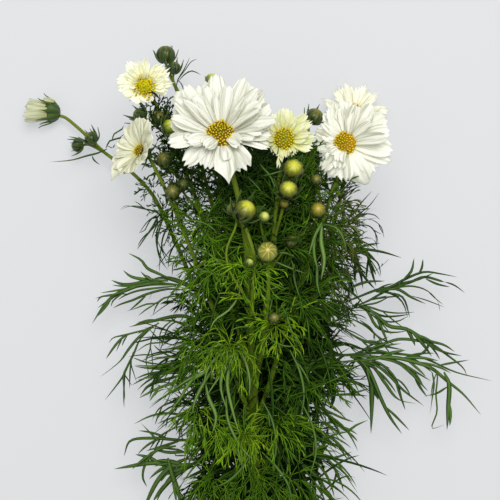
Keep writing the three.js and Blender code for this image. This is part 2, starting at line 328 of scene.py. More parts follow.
def calyxPaint(name, foot, tip, edge):
    material, graph = newPaint(name)
    along = graph.attribute("along")
    across = graph.attribute("across")
    veins = (across * 26.0).maths("SINE") * 0.5 + 0.5
    clouds = mottle(graph, 220.0)
    colour = graph.colour(along + clouds * 0.4 - 0.2, foot, tip)
    colour = graph.colour(veins * 0.3, colour, edge)
    colour = graph.colour(across.maths("ABSOLUTE") ** 6.0 * 0.5, colour, edge)
    thinSkin(graph, colour, veins, calyxFinish)
    return material


starSeams, plainSeams = 1.9, 0.55
budFinish = {"roughness": 0.34, "ior": 1.42, "bump": 0.35, "bumpDepth": 0.15}


def budPaint(name, crown, side, foot):
    material, graph = newPaint(name)
    seam = graph.attribute("seam")
    height = graph.attribute("height")
    stripe = graph.attribute("stripe")
    clouds = mottle(graph, 320.0)
    # painted shade: a bud darkens from its side down to its foot
    colour = graph.colour((height - 0.6) * 2.7 + clouds * 0.5 - 0.25, foot, side)
    # the crown: the bud's own yellow tip, partly a painted highlight
    colour = graph.colour((height - 0.87) * 7.0 + clouds * 0.7 - 0.35, colour, crown)
    colour = graph.colour(stripe * (0.3 + clouds * 0.6), colour, tint(86, 84, 20))
    seams = starSeams if name == "starBud" else plainSeams
    colour = graph.colour(seam * (height - 0.6) * seams, colour, tint(224, 214, 90))
    thinSkin(graph, colour, clouds * 0.3 + stripe * 0.4, budFinish)
    return material


# The colours of each paint: base, body, tip and the painted furrow shade of a petal; a leaf or stem from dark
# to light;
# foot, tip and edge of a bract; heart, rim, foot and pollen of a disc; crown, side and foot of a bud, whose
# dark foot is painted shade and whose crown is partly a painted highlight.
whiteTints = ((234, 230, 140), (253, 252, 242), (254, 254, 247), (198, 200, 180))
colours = {
    "whitePetal": (petalPaint, *whiteTints),
    # the white petal paint again, with a painted glow that lifts the shade of the right bloom
    "sidePetal": (petalPaint, *whiteTints),
    "ivoryPetal": (petalPaint, (226, 218, 100), (244, 244, 218), (250, 250, 234), (208, 208, 172)),
    "creamPetal": (petalPaint, (246, 238, 90), (254, 253, 222), (255, 255, 248), (244, 244, 204)),
    "limePetal": (petalPaint, (232, 232, 66), (250, 250, 200), (252, 252, 238), (218, 222, 156)),
    "tightPetal": (petalPaint, (188, 190, 80), (224, 226, 188), (226, 228, 200), (170, 174, 130)),
    "fadedPetal": (petalPaint, (244, 240, 190), (253, 253, 240), (253, 252, 240), (234, 232, 210)),
    "featheryLeaf": (leafPaint, (8, 28, 2), (26, 58, 5), (66, 108, 12), (114, 156, 12), (160, 186, 20)),
    "matureLeaf": (leafPaint, (14, 34, 11), (41, 70, 30), (80, 112, 52), (114, 144, 76), (146, 172, 98)),
    "dryLeaf": (leafPaint, (20, 28, 8), (50, 62, 22), (90, 102, 44), (128, 138, 74), (160, 166, 104)),
    "greenStem": (stemPaint, (46, 76, 8), (84, 112, 6), (110, 130, 32)),
    "greenBract": (calyxPaint, (30, 54, 16), (54, 82, 30), (92, 114, 52)),
    "paleBract": (calyxPaint, (104, 124, 42), (142, 162, 70), (170, 184, 98)),
    "sunDisc": (discPaint, (208, 208, 10), (238, 206, 8), (168, 124, 4), (252, 232, 40)),
    "goldenDisc": (discPaint, (176, 186, 12), (228, 198, 8), (112, 82, 4), (252, 228, 40)),
    "lemonDisc": (discPaint, (196, 204, 14), (238, 230, 10), (206, 198, 6), (252, 244, 50)),
    "limeDisc": (discPaint, (160, 172, 8), (206, 198, 6), (140, 132, 4), (232, 222, 30)),
    "ripeBud": (budPaint, (208, 208, 62), (126, 134, 24), (34, 46, 14)),
    "ochreBud": (budPaint, (160, 144, 32), (126, 118, 28), (58, 70, 20)),
    "paleBud": (budPaint, (214, 220, 118), (156, 170, 64), (86, 108, 38)),
    "starBud": (budPaint, (132, 120, 34), (140, 140, 56), (116, 128, 56)),
    "greenBud": (budPaint, (112, 106, 36), (72, 84, 26), (38, 56, 22)),
    "darkBud": (budPaint, (86, 104, 30), (44, 70, 24), (26, 50, 20)),
    "lemonBud": (budPaint, (232, 230, 84), (178, 190, 42), (88, 116, 30)),
}
# how far a petal's base colour reaches, and its painted glow: emission in its own colour that lifts its shade
# and keeps it bright
petalLooks = {
    "whitePetal": (0.22, 0.0), "sidePetal": (0.22, 0.08), "ivoryPetal": (0.3, 0.0), "creamPetal": (0.52, 0.1),
    "limePetal": (0.9, 0.03), "tightPetal": (0.66, 0.0), "fadedPetal": (0.3, 0.1),
}
paints = {}
for name, (makePaint, *rows) in colours.items():
    paints[name] = makePaint(name, *(tint(*row) for row in rows), *petalLooks.get(name, ()))
print("materials made:", len(paints))


# from plan millimetres to meshes
def toRow(points):
    return (np.asarray(points, float) + planShift) * mm


def addObject(name, data):
    made = bpy.data.objects.new(name, data)
    bpy.context.scene.collection.objects.link(made)
    return made


def smoothFaces(mesh):
    mesh.polygons.foreach_set("use_smooth", [True] * len(mesh.polygons))


def makeMesh(name, points, faces, values, inRow=True):
    mesh = bpy.data.meshes.new(name)
    places = toRow(points) if inRow else np.asarray(points, float)
    mesh.from_pydata(places.tolist(), [], faces if isinstance(faces, list) else faces.tolist())
    for key, value in values.items():
        layer = mesh.attributes.new(key, "FLOAT", "POINT")
        layer.data.foreach_set("value", np.asarray(value, np.float32).ravel())
    return addObject(name, mesh)


def finishMesh(piece, paint):
    mesh = piece.data
    work = bmesh.new()
    work.from_mesh(mesh)
    bmesh.ops.recalc_face_normals(work, faces=work.faces)
    work.to_mesh(mesh)
    work.free()
    smoothFaces(mesh)
    mesh.materials.append(paint)
    mesh.update()
    return piece


settling = {"low": 0.15, "reach": 4.0}


# presses what hangs too low on to the surface, and leaves the rest as it is
def settle(piece):
    low, reach = settling["low"], settling["reach"]
    count = len(piece.data.vertices)
    places = np.empty(count * 3, np.float32)
    piece.data.vertices.foreach_get("co", places)
    z = places[2::3] / mm
    places[2::3] = np.where(z < reach, low + (reach - low) * np.exp((z - reach) / (reach - low)), z) * mm
    piece.data.vertices.foreach_set("co", places)
    piece.data.update()
    return piece


def placePiece(piece, slot, *nodes):
    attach(piece, "root")
    if nodes:
        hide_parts(*nodes)
    return piece


class Parts:
    # points, faces and point values of many small bodies that go into one piece
    def __init__(self):
        self.points, self.faces, self.values, self.count = [], [], {}, 0

    def take(self, points, faces, values):
        self.points.append(points)
        self.faces.append(faces + self.count)
        for key, value in values.items():
            self.values.setdefault(key, []).append(np.broadcast_to(value, len(points)))
        self.count += len(points)

    def piece(self, name, paint, inRow=True):
        values = {key: np.concatenate(value) for key, value in self.values.items()}
        made = makeMesh(name, np.vstack(self.points), np.vstack(self.faces), values, inRow)
        return finishMesh(made, paint)


# trees that grow what repeats or follows a line
def geometryTree(name, inputs):
    tree = bpy.data.node_groups.new(name, "GeometryNodeTree")
    tree.interface.new_socket("Geometry", in_out="INPUT", socket_type="NodeSocketGeometry")
    tree.interface.new_socket("Geometry", in_out="OUTPUT", socket_type="NodeSocketGeometry")
    for label, kind in inputs.items():
        tree.interface.new_socket(label, in_out="INPUT", socket_type="NodeSocket" + kind)
    graph = Graph(tree)
    entry = tree.nodes.new("NodeGroupInput")
    wires = {socket.name: Wire(graph, socket) for socket in entry.outputs if socket.name}
    return graph, wires


def endTree(graph, geometry, material):
    geometry = graph.add("GeometryNodeRealizeInstances", {}, {0: geometry})
    geometry = graph.add("GeometryNodeSetMaterial", {}, {"Geometry": geometry, "Material": material})
    graph.add("NodeGroupOutput", {}, {0: geometry})
    return graph.tree


# runs a tree on a piece and leaves the result as a plain mesh
def growPiece(piece, tree, settings):
    modifier = piece.modifiers.new("grow", "NODES")
    modifier.node_group = tree
    for item in tree.interface.items_tree:
        if item.item_type == "SOCKET" and item.in_out == "INPUT" and item.name in settings:
            modifier[item.identifier] = settings[item.name]
    bpy.context.view_layer.update()
    shot = piece.evaluated_get(bpy.context.evaluated_depsgraph_get())
    mesh = bpy.data.meshes.new_from_object(shot)
    piece.modifiers.remove(modifier)
    piece.data = mesh
    smoothFaces(mesh)
    return piece


def namedValue(graph, name, kind="FLOAT"):
    return graph.add("GeometryNodeInputNamedAttribute", {"data_type": kind}, (name,))


# sweeps a ring along lines; each line's own width scales it
def sweptTree(graph, lines, ring, material):
    sockets = {"Curve": lines, "Profile Curve": ring, "Fill Caps": True, "Scale": namedValue(graph, "width")}
    return endTree(graph, graph.add("GeometryNodeCurveToMesh", {}, sockets), material)


def instancedTree(graph, points, shape, rotation, size, material):
    shape = graph.add("GeometryNodeObjectInfo", {}, {"Object": shape}, 4)
    size = graph.vector(size, size, size)
    spread = {"Points": points, "Instance": shape, "Rotation": rotation, "Scale": size}
    return endTree(graph, graph.add("GeometryNodeInstanceOnPoints", {}, spread), material)


# A tube along every line of a skeleton, with fine ribs.
def stemTree():
    inputs = {"Sides": "Int", "Rib Depth": "Float", "Material": "Material"}
    graph, wires = geometryTree("stemSkin", inputs)
    lines = graph.add("GeometryNodeMeshToCurve", {}, (wires["Geometry"],))
    ring = graph.add("GeometryNodeCurvePrimitiveCircle", {}, {"Resolution": wires["Sides"], "Radius": 1.0})
    place = graph.add("GeometryNodeInputPosition")
    odd = graph.add("GeometryNodeInputIndex").maths("MODULO", 2.0)
    scale = 1.0 - odd * wires["Rib Depth"]
    ribbed = graph.add("ShaderNodeVectorMath", {"operation": "SCALE"}, {0: place, "Scale": scale})
    ring = graph.add("GeometryNodeSetPosition", {}, {"Geometry": ring, "Position": ribbed})
    return sweptTree(graph, lines, ring, wires["Material"])


# A flat ribbon with a low midrib along every line of a skeleton, facing the way the line says.
def ribbonTree():
    graph, wires = geometryTree("leafRibbon", {"Flatness": "Float", "Material": "Material"})
    lines = graph.add("GeometryNodeMeshToCurve", {}, (wires["Geometry"],))
    facing = {"Curve": lines, "Normal": namedValue(graph, "facing", "FLOAT_VECTOR")}
    lines = graph.add("GeometryNodeSetCurveNormal", {"mode": "FREE"}, facing)
    ring = graph.add("GeometryNodeCurvePrimitiveCircle", {}, {"Resolution": 3, "Radius": 1.15})
    shape = graph.vector(wires["Flatness"], 1.0, 1.0)
    ring = graph.add("GeometryNodeTransform", {}, {"Geometry": ring, "Scale": shape})
    place = graph.add("GeometryNodeInputPosition")
    split = graph.add("ShaderNodeSeparateXYZ", {}, (place,), 1).maths("ABSOLUTE")
    return sweptTree(graph, lines, graph.store(ring, "across", split), wires["Material"])


# Florets packed on a dome in the golden-angle spiral of a daisy's disc.
def discTree():
    graph, wires = geometryTree("discHead", {
        "Floret": "Object", "Count": "Int", "Radius": "Float", "Dome Height": "Float", "Size": "Float",
        "Heart Size": "Float", "Star": "Float", "Seed": "Int", "Material": "Material",
    })
    index = graph.add("GeometryNodeInputIndex")
    outward = ((index + 0.5) / wires["Count"]).maths("SQRT")
    turn = index * goldenAngle
    points = (turn * 5.0).maths("COSINE") * wires["Star"] * outward + 1.0
    radius = wires["Radius"] * outward * points
    place = graph.around(turn, radius, wires["Dome Height"] * (1.0 - outward * outward))
    points = graph.add("GeometryNodePoints", {}, {"Count": wires["Count"], "Position": place})
    points = graph.store(points, "outward", outward)
    jitter = graph.add(
        "FunctionNodeRandomValue", {"data_type": "FLOAT_VECTOR"},
        {0: (-0.3, -0.3, -0.3), 1: (0.3, 0.3, 0.3), "Seed": wires["Seed"]},
    )
    heading = graph.around(turn, outward * 0.75, 1.0)
    heading = graph.add("ShaderNodeVectorMath", {"operation": "ADD"}, (heading, jitter))
    turned = graph.add("FunctionNodeAlignRotationToVector", {"axis": "Z"}, {"Vector": heading})
    size = wires["Heart Size"] + (wires["Size"] - wires["Heart Size"]) * outward ** 1.4
    size = size * graph.chance(0.8, 1.2, wires["Seed"])
    return instancedTree(graph, points, wires["Floret"], turned, size, wires["Material"])


# A whorl of bracts round an axis: each leans out from the ring and turns to its own angle.
def whorlTree():
    graph, wires = geometryTree("bractWhorl", {
        "Bract": "Object", "Count": "Int", "Ring": "Float", "Size": "Float", "Lean": "Float",
        "Looseness": "Float", "Seed": "Int", "Material": "Material",
    })
    index = graph.add("GeometryNodeInputIndex")
    wobble = graph.chance(-1.0, 1.0, wires["Seed"]) * wires["Looseness"]
    turn = (index + wobble * 0.6) * (2 * math.pi) / wires["Count"]
    place = graph.around(turn, wires["Ring"], 0.0)
    points = graph.add("GeometryNodePoints", {}, {"Count": wires["Count"], "Position": place})
    turned = graph.vector(0.0, 0.0 - (wires["Lean"] + wobble), turn)
    size = wires["Size"] * (1.0 + wobble * 0.5)
    return instancedTree(graph, points, wires["Bract"], turned, size, wires["Material"])


trees = {"stem": stemTree(), "ribbon": ribbonTree(), "disc": discTree(), "whorl": whorlTree()}
print("geometry node trees made:", len(trees))


# lines that tubes and ribbons follow
class Skeleton:
    # lines with a width, a tone and a facing at every point
    def __init__(self):
        self.points, self.widths, self.tones, self.facings, self.edges, self.count = [], [], [], [], [], 0

    def line(self, points, widths, tones, facing=(0, 0, 1)):
        count = len(points)
        self.points.append(points)
        self.widths.append(np.broadcast_to(widths, count))
        self.tones.append(np.broadcast_to(tones, count))
        self.facings.append(np.broadcast_to(facing, (count, 3)))
        start = self.count + np.arange(count - 1)
        self.edges.append(np.column_stack([start, start + 1]))
        self.count += count

    def piece(self, name, tree, settings):
        mesh = bpy.data.meshes.new(name)
        places = toRow(np.vstack(self.points))
        mesh.from_pydata(places.tolist(), np.vstack(self.edges).tolist(), [])
        for key, value in (("width", np.concatenate(self.widths) * mm), ("tone", np.concatenate(self.tones))):
            layer = mesh.attributes.new(key, "FLOAT", "POINT")
            layer.data.foreach_set("value", value.astype(np.float32))
        layer = mesh.attributes.new("facing", "FLOAT_VECTOR", "POINT")
        layer.data.foreach_set("vector", np.vstack(self.facings).astype(np.float32).ravel())
        return growPiece(addObject(name, mesh), tree, settings)


# the stems follow the same lines as in the frame
stemShape = {
    "baseRadius": 4.6, "neckRadius": 1.35, "axisHeight": 4.62, "straightShare": 0.12, "branchBase": 2.15,
    "branchNeck": 1.1, "sides": 20, "ribDepth": 0.07, "nodeEvery": 26.0, "nodeSwell": 0.22,
    "nodeLength": 1.6, "clearance": 0.05,
}
mainLine = [
    *((6, y, stemShape["axisHeight"]) for y in (-300, -270, -245, -237)), (5, -190, 18), (3, -140, 38),
    (2, -90, 58), (0, -40, 76), (-2, 0, 90), (-8, 36, 101), (-15, 60, 103), (-17, 69, 109.4),
]
branchLines = {
    "branch_right_front": [(6.6, -64, 70), (12, -20, 85), (17, 30, 88), (20, 58, 81), (21.4, 69.2, 86.8)],
    "branch_right": [
        (10, -98, 55), (24, -50, 66), (41, 0, 74), (54, 40, 77), (62, 62, 78), (64, 67.2, 83.7),
    ],
    "branch_right_back": [
        (9.6, -146, 34), (26, -95, 30), (50, -10, 19), (66, 50, 8), (72, 84, 3.2), (72.6, 92.4, 3.6),
    ],
    "branch_left_back": [
        (-3, -138, 36), (-17, -74, 36), (-34, -34, 36), (-51, 7, 33), (-71, 44, 25), (-100, 67, 13),
        (-127, 91.2, 8), (-131.6, 93, 8.8),
    ],
    "branch_left": [(-4.5, -98, 56), (-20, -50, 66), (-42, 10, 74), (-58, 46, 74), (-65.6, 60.8, 78.8)],
    "branch_top_left": [
        (-5.5, -58, 70), (-16, -20, 66), (-34, 30, 61), (-52, 74, 58), (-65, 102, 59), (-67.9, 107.9, 67),
    ],
    "branch_top": [(-3, -82, 54), (-12, -20, 50), (-28, 40, 44), (-44, 95, 41), (-56.4, 123.4, 39)],
    "branch_front": [(1, -60, 75.5), (1.5, -34, 95), (2.5, -4, 106), (-2.5, 13.6, 107)],
    "branch_front_low": [(4, -86, 66.6), (9, -54, 90), (11.5, -26, 104), (10.8, -3.6, 110.8)],
}


# the radius along a stem, swollen at its nodes and never wider than its height over the surface
def stemWidths(line, fromRadius, toRadius, flat=0.0):
    steps = np.linalg.norm(np.diff(line, axis=0), axis=1)
    run = np.concatenate([[0], np.cumsum(steps)])
    share = np.clip(run / run[-1] - flat, 0, 1) / (1 - flat)
    radius = blendOf(fromRadius, toRadius, share ** (0.5 if flat == 0 else 1.0))
    room = (line[:, 2] - stemShape["clearance"]) / (1 + stemShape["nodeSwell"])
    radius = np.minimum(radius, room)
    near = np.abs((run / stemShape["nodeEvery"] + 0.5) % 1 - 0.5) * stemShape["nodeEvery"]
    swell = stemShape["nodeSwell"] * np.exp(-((near / stemShape["nodeLength"]) ** 2))
    fades = smoothStep(run, 6, 14) * smoothStep(run[-1] - run, 4, 12)
    return radius * (1 + swell * fades), share


# joins a branch to the stem it grows from, with a foot that runs along that stem first
def withFoot(line, parentLine):
    k = int(np.argmin(np.linalg.norm(parentLine - line[0], axis=1)))
    low, near = parentLine[max(k - 9, 0)], parentLine[max(k - 3, 0)]
    foot = near + (line[0] - parentLine[k]) * 0.5
    return smoothLine([low, foot, *line[2::6], line[-1]], 84)


def stemPiece(name, line, widths, tones, node):
    skeleton = Skeleton()
    skeleton.line(line, widths, tones)
    made = skeleton.piece(name, trees["stem"], {
        "Sides": stemShape["sides"], "Rib Depth": stemShape["ribDepth"], "Material": paints["greenStem"],
    })
    return placePiece(made, "stem", node)


stemLines = {"main_stem": smoothLine(mainLine, 150)}
widths, share = stemWidths(
    stemLines["main_stem"], stemShape["baseRadius"], stemShape["neckRadius"], stemShape["straightShare"],
)
stemPiece("mainStem", stemLines["main_stem"], widths, 0.15 + 0.6 * share, "main_stem")
for node, points in branchLines.items():
    line = smoothLine(points, 70)
    stemLines[node] = line
    footed = withFoot(line, stemLines["main_stem"])
    widths, share = stemWidths(footed, stemShape["branchBase"], stemShape["branchNeck"])
    stemPiece(camelName(node.replace("branch", "stem")), footed, widths, 0.45 + 0.4 * share, node)
print("stems made:", len(stemLines))


# petals and bracts are all made by one curved sheet
petalDefaults = {
    "from": 4.0, "length": 26.0, "width": 9.0, "claw": 0.3, "widest": 0.68, "tipNarrow": 0.3, "teeth": 3,
    "toothDepth": 0.1, "toothPoint": 1.0, "shoulder": 0.08, "shoulderPower": 2.0, "rise": 10.0, "curl": 0.0,
    "curlPower": 1.0, "hook": 0.0, "roll": 0.5, "ribDepth": 0.4, "wave": 0.3, "twist": 0.0, "sweep": 0.0,
    "thickness": 0.3, "lift": 0.0, "azimuth": 0.0, "shade": 0.5, "phase": 0.0,
}


# A thin closed sheet along +X, curling from one angle to another, with ribs and a toothed tip.
def petalSheet(parts, changes, rows, cols, axes=None, at=(0, 0, 0)):
    p = {**petalDefaults, **changes}
    u = np.linspace(0, 1, rows)[:, None]
    v = np.linspace(-1, 1, cols)[None, :]
    tooth = (0.5 + 0.5 * np.cos(math.pi * p["teeth"] * (v + 1))) ** p["toothPoint"]
    shoulder = p["shoulder"] * np.abs(v) ** p["shoulderPower"]
    s = u * (1 - (p["toothDepth"] * tooth + shoulder) * u ** 4)
    fine = np.linspace(0, 1, 80)
    slope = np.radians(p["rise"] + p["curl"] * fine ** p["curlPower"] + p["hook"] * fine ** 5)
    step = p["length"] / (len(fine) - 1)
    runX = np.concatenate([[0], np.cumsum(np.cos(slope[1:]))]) * step
    runZ = np.concatenate([[0], np.cumsum(np.sin(slope[1:]))]) * step
    x, z = np.interp(s, fine, runX), np.interp(s, fine, runZ)
    angle = np.interp(s, fine, slope)
    rise = np.sin(np.clip(s / p["widest"], 0, 1) * math.pi / 2) ** 0.9
    fall = 1 - p["tipNarrow"] * smoothStep(s, p["widest"], 1.0)
    half = p["width"] / 2 * (p["claw"] + (1 - p["claw"]) * rise) * fall
    roll = p["roll"] * (1.25 - 0.5 * s) + 1e-4
    y = half * np.sin(roll * v) / roll
    off = half * (1 - np.cos(roll * v)) / roll
    ribs = np.cos(p["teeth"] * math.pi * v) * np.sin(np.clip(s, 0, 1) * 2.6)
    off = off + p["ribDepth"] * ribs * half / p["width"] * 2
    off = off + p["wave"] * np.sin(5.5 * s + p["phase"]) * v * np.abs(v) * s
    turn = p["twist"] * s
    y, off = y * np.cos(turn) - off * np.sin(turn), y * np.sin(turn) + off * np.cos(turn)
    y = y + p["length"] * p["sweep"] * s ** 2
    out, up = p["from"] + x - np.sin(angle) * off, p["lift"] + z + np.cos(angle) * off
    grid = np.stack([out, y + 0 * x, up], -1)
    du, dv = np.gradient(grid, axis=0), np.gradient(grid, axis=1)
    normal = np.cross(du, dv)
    normal /= np.maximum(np.linalg.norm(normal, axis=-1, keepdims=True), 1e-9)
    thick = (p["thickness"] / 2 * (1 - 0.55 * v ** 6) * (1 - 0.5 * u ** 6))[..., None]
    both = np.concatenate([grid + normal * thick, grid - normal * thick]).reshape(-1, 3)
    turnZ = math.radians(p["azimuth"])
    c, sn = math.cos(turnZ), math.sin(turnZ)
    both = both @ np.array([[c, sn, 0], [-sn, c, 0], [0, 0, 1]])
    if axes is not None:
        both = both @ axes.T + np.asarray(at, float)
    number = np.arange(rows * cols).reshape(rows, cols)
    a, b, d, e = number[:-1, :-1], number[:-1, 1:], number[1:, 1:], number[1:, :-1]
    top = np.stack([a, e, d, b], -1).reshape(-1, 4)
    bottom = top[:, ::-1] + rows * cols
    rim = np.concatenate([number[0, :], number[1:, -1], number[-1, -2::-1], number[-2:0:-1, 0]])
    after = np.roll(rim, -1)
    side = np.stack([rim, after, after + rows * cols, rim + rows * cols], -1)
    values = {
        "along": np.tile((s + 0 * v).ravel(), 2),
        "across": np.tile((v + 0 * u).ravel(), 2),
        "shade": p["shade"],
    }
    parts.take(both, np.vstack([top, bottom, side]), values)


# The points of a shape turned about Z. A ring is its radius, its height and the depth of its lobes, and
# a point under the rings and one over them come last.
def turnedPoints(rings, around, foot, top, lobes=0):
    points = []
    for radius, height, depth in rings:
        for k in range(around):
            turn = 2 * math.pi * k / around
            wide = radius + depth * math.cos(lobes * turn)
            points.append((wide * math.cos(turn), wide * math.sin(turn), height))
    return points + [(0, 0, foot), (0, 0, top)]


# Walls between rings, closed by two more points: the one after the rings closes the first ring, the next
# one closes the last.
def ringFaces(rings, around):
    number = np.arange(rings * around).reshape(rings, around)
    after = np.roll(number, -1, axis=1)
    walls = np.stack([number[:-1], after[:-1], after[1:], number[1:]], -1).reshape(-1, 4)
    foot, top = rings * around, rings * around + 1
    faces = [tuple(face) for face in walls.tolist()]
    faces += [(foot, b, a) for a, b in zip(number[0].tolist(), after[0].tolist())]
    faces += [(top, a, b) for a, b in zip(number[-1].tolist(), after[-1].tolist())]
    return faces


# One disc floret: a five-lobed trumpet with a knob of pollen that stands out of its mouth.
floretShape = {
    "sides": 10, "lobes": 5, "rings": [(0.2, 0.0, 0.0), (0.34, 0.85, 0.09), (0.13, 0.92, 0.0)], "top": 1.3,
}


def makeFloret():
    rings, sides, top = floretShape["rings"], floretShape["sides"], floretShape["top"]
    points = turnedPoints(rings, sides, 0, top, floretShape["lobes"])
    height = [z for _, z, _ in rings for _ in range(sides)] + [0, top]
    made = makeMesh("floretShape", points, ringFaces(len(rings), sides), {"height": height}, inRow=False)
    return finishMesh(made, paints["goldenDisc"])


# A bract one unit long that starts flat along +X and curls up.
def makeBract(name, changes):
    parts = Parts()
    shape = {
        "from": 0.0, "length": 1.0, "width": 0.2, "claw": 0.7, "widest": 0.3, "tipNarrow": 0.92, "teeth": 1,
        "toothDepth": 0.0, "shoulder": 0.0, "rise": 0.0, "curl": 60.0, "roll": 0.5, "ribDepth": 0.0,
        "wave": 0.0, "thickness": 0.06,
    }
    petalSheet(parts, {**shape, **changes}, 9, 5)
    return parts.piece(name, paints["greenBract"], inRow=False)


floret = makeFloret()
hookBract = makeBract("hookBractShape", {"width": 0.26, "curl": 98.0, "curlPower": 0.6, "hook": -38.0})
spreadBract = makeBract("spreadBractShape", {"width": 0.16, "curl": 60.0, "rise": -15.0, "hook": -60.0})
cupBract = makeBract("cupBractShape", {"width": 0.62, "curl": 55.0, "widest": 0.5, "roll": 0.9})


def bedPiece(name):
    return addObject(name, bpy.data.meshes.new(name))


# puts a piece that was grown about the origin, in metres, at a bloom's or bud's place
def standAt(piece, at, axes, height=0.0):
    matrix = Matrix.Identity(4)
    for r in range(3):
        for c in range(3):
            matrix[r][c] = axes[r][c]
    matrix.translation = Vector(toRow(np.asarray(at, float) + axes[:, 2] * height))
    piece.data.transform(matrix)
    return piece


def joinPieces(name, pieces):
    work, mesh = bmesh.new(), bpy.data.meshes.new(name)
    for piece in pieces:
        before = len(work.faces)
        work.from_mesh(piece.data)
        work.faces.ensure_lookup_table()
        paint = piece.data.materials[0]
        if paint.name not in mesh.materials:
            mesh.materials.append(paint)
        for face in work.faces[before:]:
            face.material_index = mesh.materials.find(paint.name)
    work.to_mesh(mesh)
    work.free()
    smoothFaces(mesh)
    for piece in pieces:
        bpy.data.objects.remove(piece)
    return addObject(name, mesh)


domeShape = {
    "around": 36, "rings": [(0.3, -0.1), (0.98, 0.0), (0.97, 0.06), (0.75, 0.2), (0.4, 0.32)],
    "foot": -0.1, "top": 0.36, "steepness": 2.6, "tone": 0.1, "packed": 0.97, "heartSize": 0.75,
}


# the florets and the dome that they stand on
def growDisc(name, bloom, axes):
    radius, floor, dome, star = bloom["discRadius"], bloom["floor"], bloom["dome"], bloom["star"]
    size, paint = radius * bloom["floretSize"], paints[bloom["discPaint"]]
    florets = growPiece(bedPiece("florets"), trees["disc"], {
        "Floret": floret, "Count": bloom["florets"], "Radius": radius * domeShape["packed"] * mm,
        "Dome Height": radius * dome * mm, "Size": size * mm,
        "Heart Size": size * domeShape["heartSize"] * mm, "Star": star, "Seed": seeds["discs"],
        "Material": paint,
    })
    standAt(florets, bloom["at"], axes, floor)
    steep, around, profile = domeShape["steepness"], domeShape["around"], domeShape["rings"]
    wide = radius * (1 - star)
    rings = [(share * wide, floor + rise * radius * dome * steep, 0.0) for share, rise in profile]
    foot, top = floor + domeShape["foot"] * radius, floor + domeShape["top"] * radius * dome * steep
    places = np.array(turnedPoints(rings, around, foot, top)) @ axes.T + np.asarray(bloom["at"], float)
    outward = [share for share, _ in profile for _ in range(around)] + [0, 0]
    values = {"outward": outward, "height": [domeShape["tone"]] * len(places)}
    heart = finishMesh(makeMesh("dome", places, ringFaces(len(profile), around), values), paint)
    return joinPieces(name, [florets, heart])


calyxShape = {
    "around": 40, "bracts": 8, "bulge": 0.035, "foot": -1.0, "top": -0.05,
    "outer": {"seat": -0.86, "ring": 0.5, "looseness": 0.22},
    "inner": {"seat": -0.62, "ring": 0.72, "looseness": 0.05},
    "rings": [
        (0.2, -1.0), (0.42, -0.97), (0.68, -0.84), (0.88, -0.62), (0.98, -0.36), (0.98, -0.16), (0.9, -0.06),
        (0.6, -0.05), (0.25, -0.05),
    ],
}


def growWhorl(name, at, axes, height, settings):
    return standAt(growPiece(bedPiece(name), trees["whorl"], settings), at, axes, height)


# a round green cup under the petals, with a row of spread bracts and a row of close ones
def growCalyx(name, bloom, axes):
    radius, depth = bloom["calyxRadius"], bloom["calyxDepth"]
    around, count, profile = calyxShape["around"], calyxShape["bracts"], calyxShape["rings"]
    rings = [(share * radius, rise * depth, calyxShape["bulge"] * share * radius) for share, rise in profile]
    cup = turnedPoints(rings, around, calyxShape["foot"] * depth, calyxShape["top"] * depth, count)
    places = np.array(cup) @ axes.T + np.asarray(bloom["at"], float)
    values = {
        "along": [1 + rise for _, rise in profile for _ in range(around)] + [0, 1],
        "across": [math.sin(count * math.pi * k / around) for _ in profile for k in range(around)] + [0, 0],
    }
    paint = paints["greenBract"]
    cup = finishMesh(makeMesh("cup", places, ringFaces(len(profile), around), values), paint)
    whorls = [
        ("outer", spreadBract, bloom["bractLength"], bloom["bractLean"]),
        ("inner", cupBract, radius * bloom["cupLength"], bloom["cupLean"]),
    ]
    grown = [cup]
    for number, (row, bract, length, lean) in enumerate(whorls):
        place = calyxShape[row]
        grown.append(growWhorl(row + "Bracts", bloom["at"], axes, place["seat"] * depth, {
            "Bract": bract, "Count": count, "Ring": radius * place["ring"] * mm, "Size": length * mm,
            "Lean": lean, "Looseness": place["looseness"], "Seed": bloom["seed"] + number,
            "Material": paint,
        }))
    return joinPieces(name, grown)


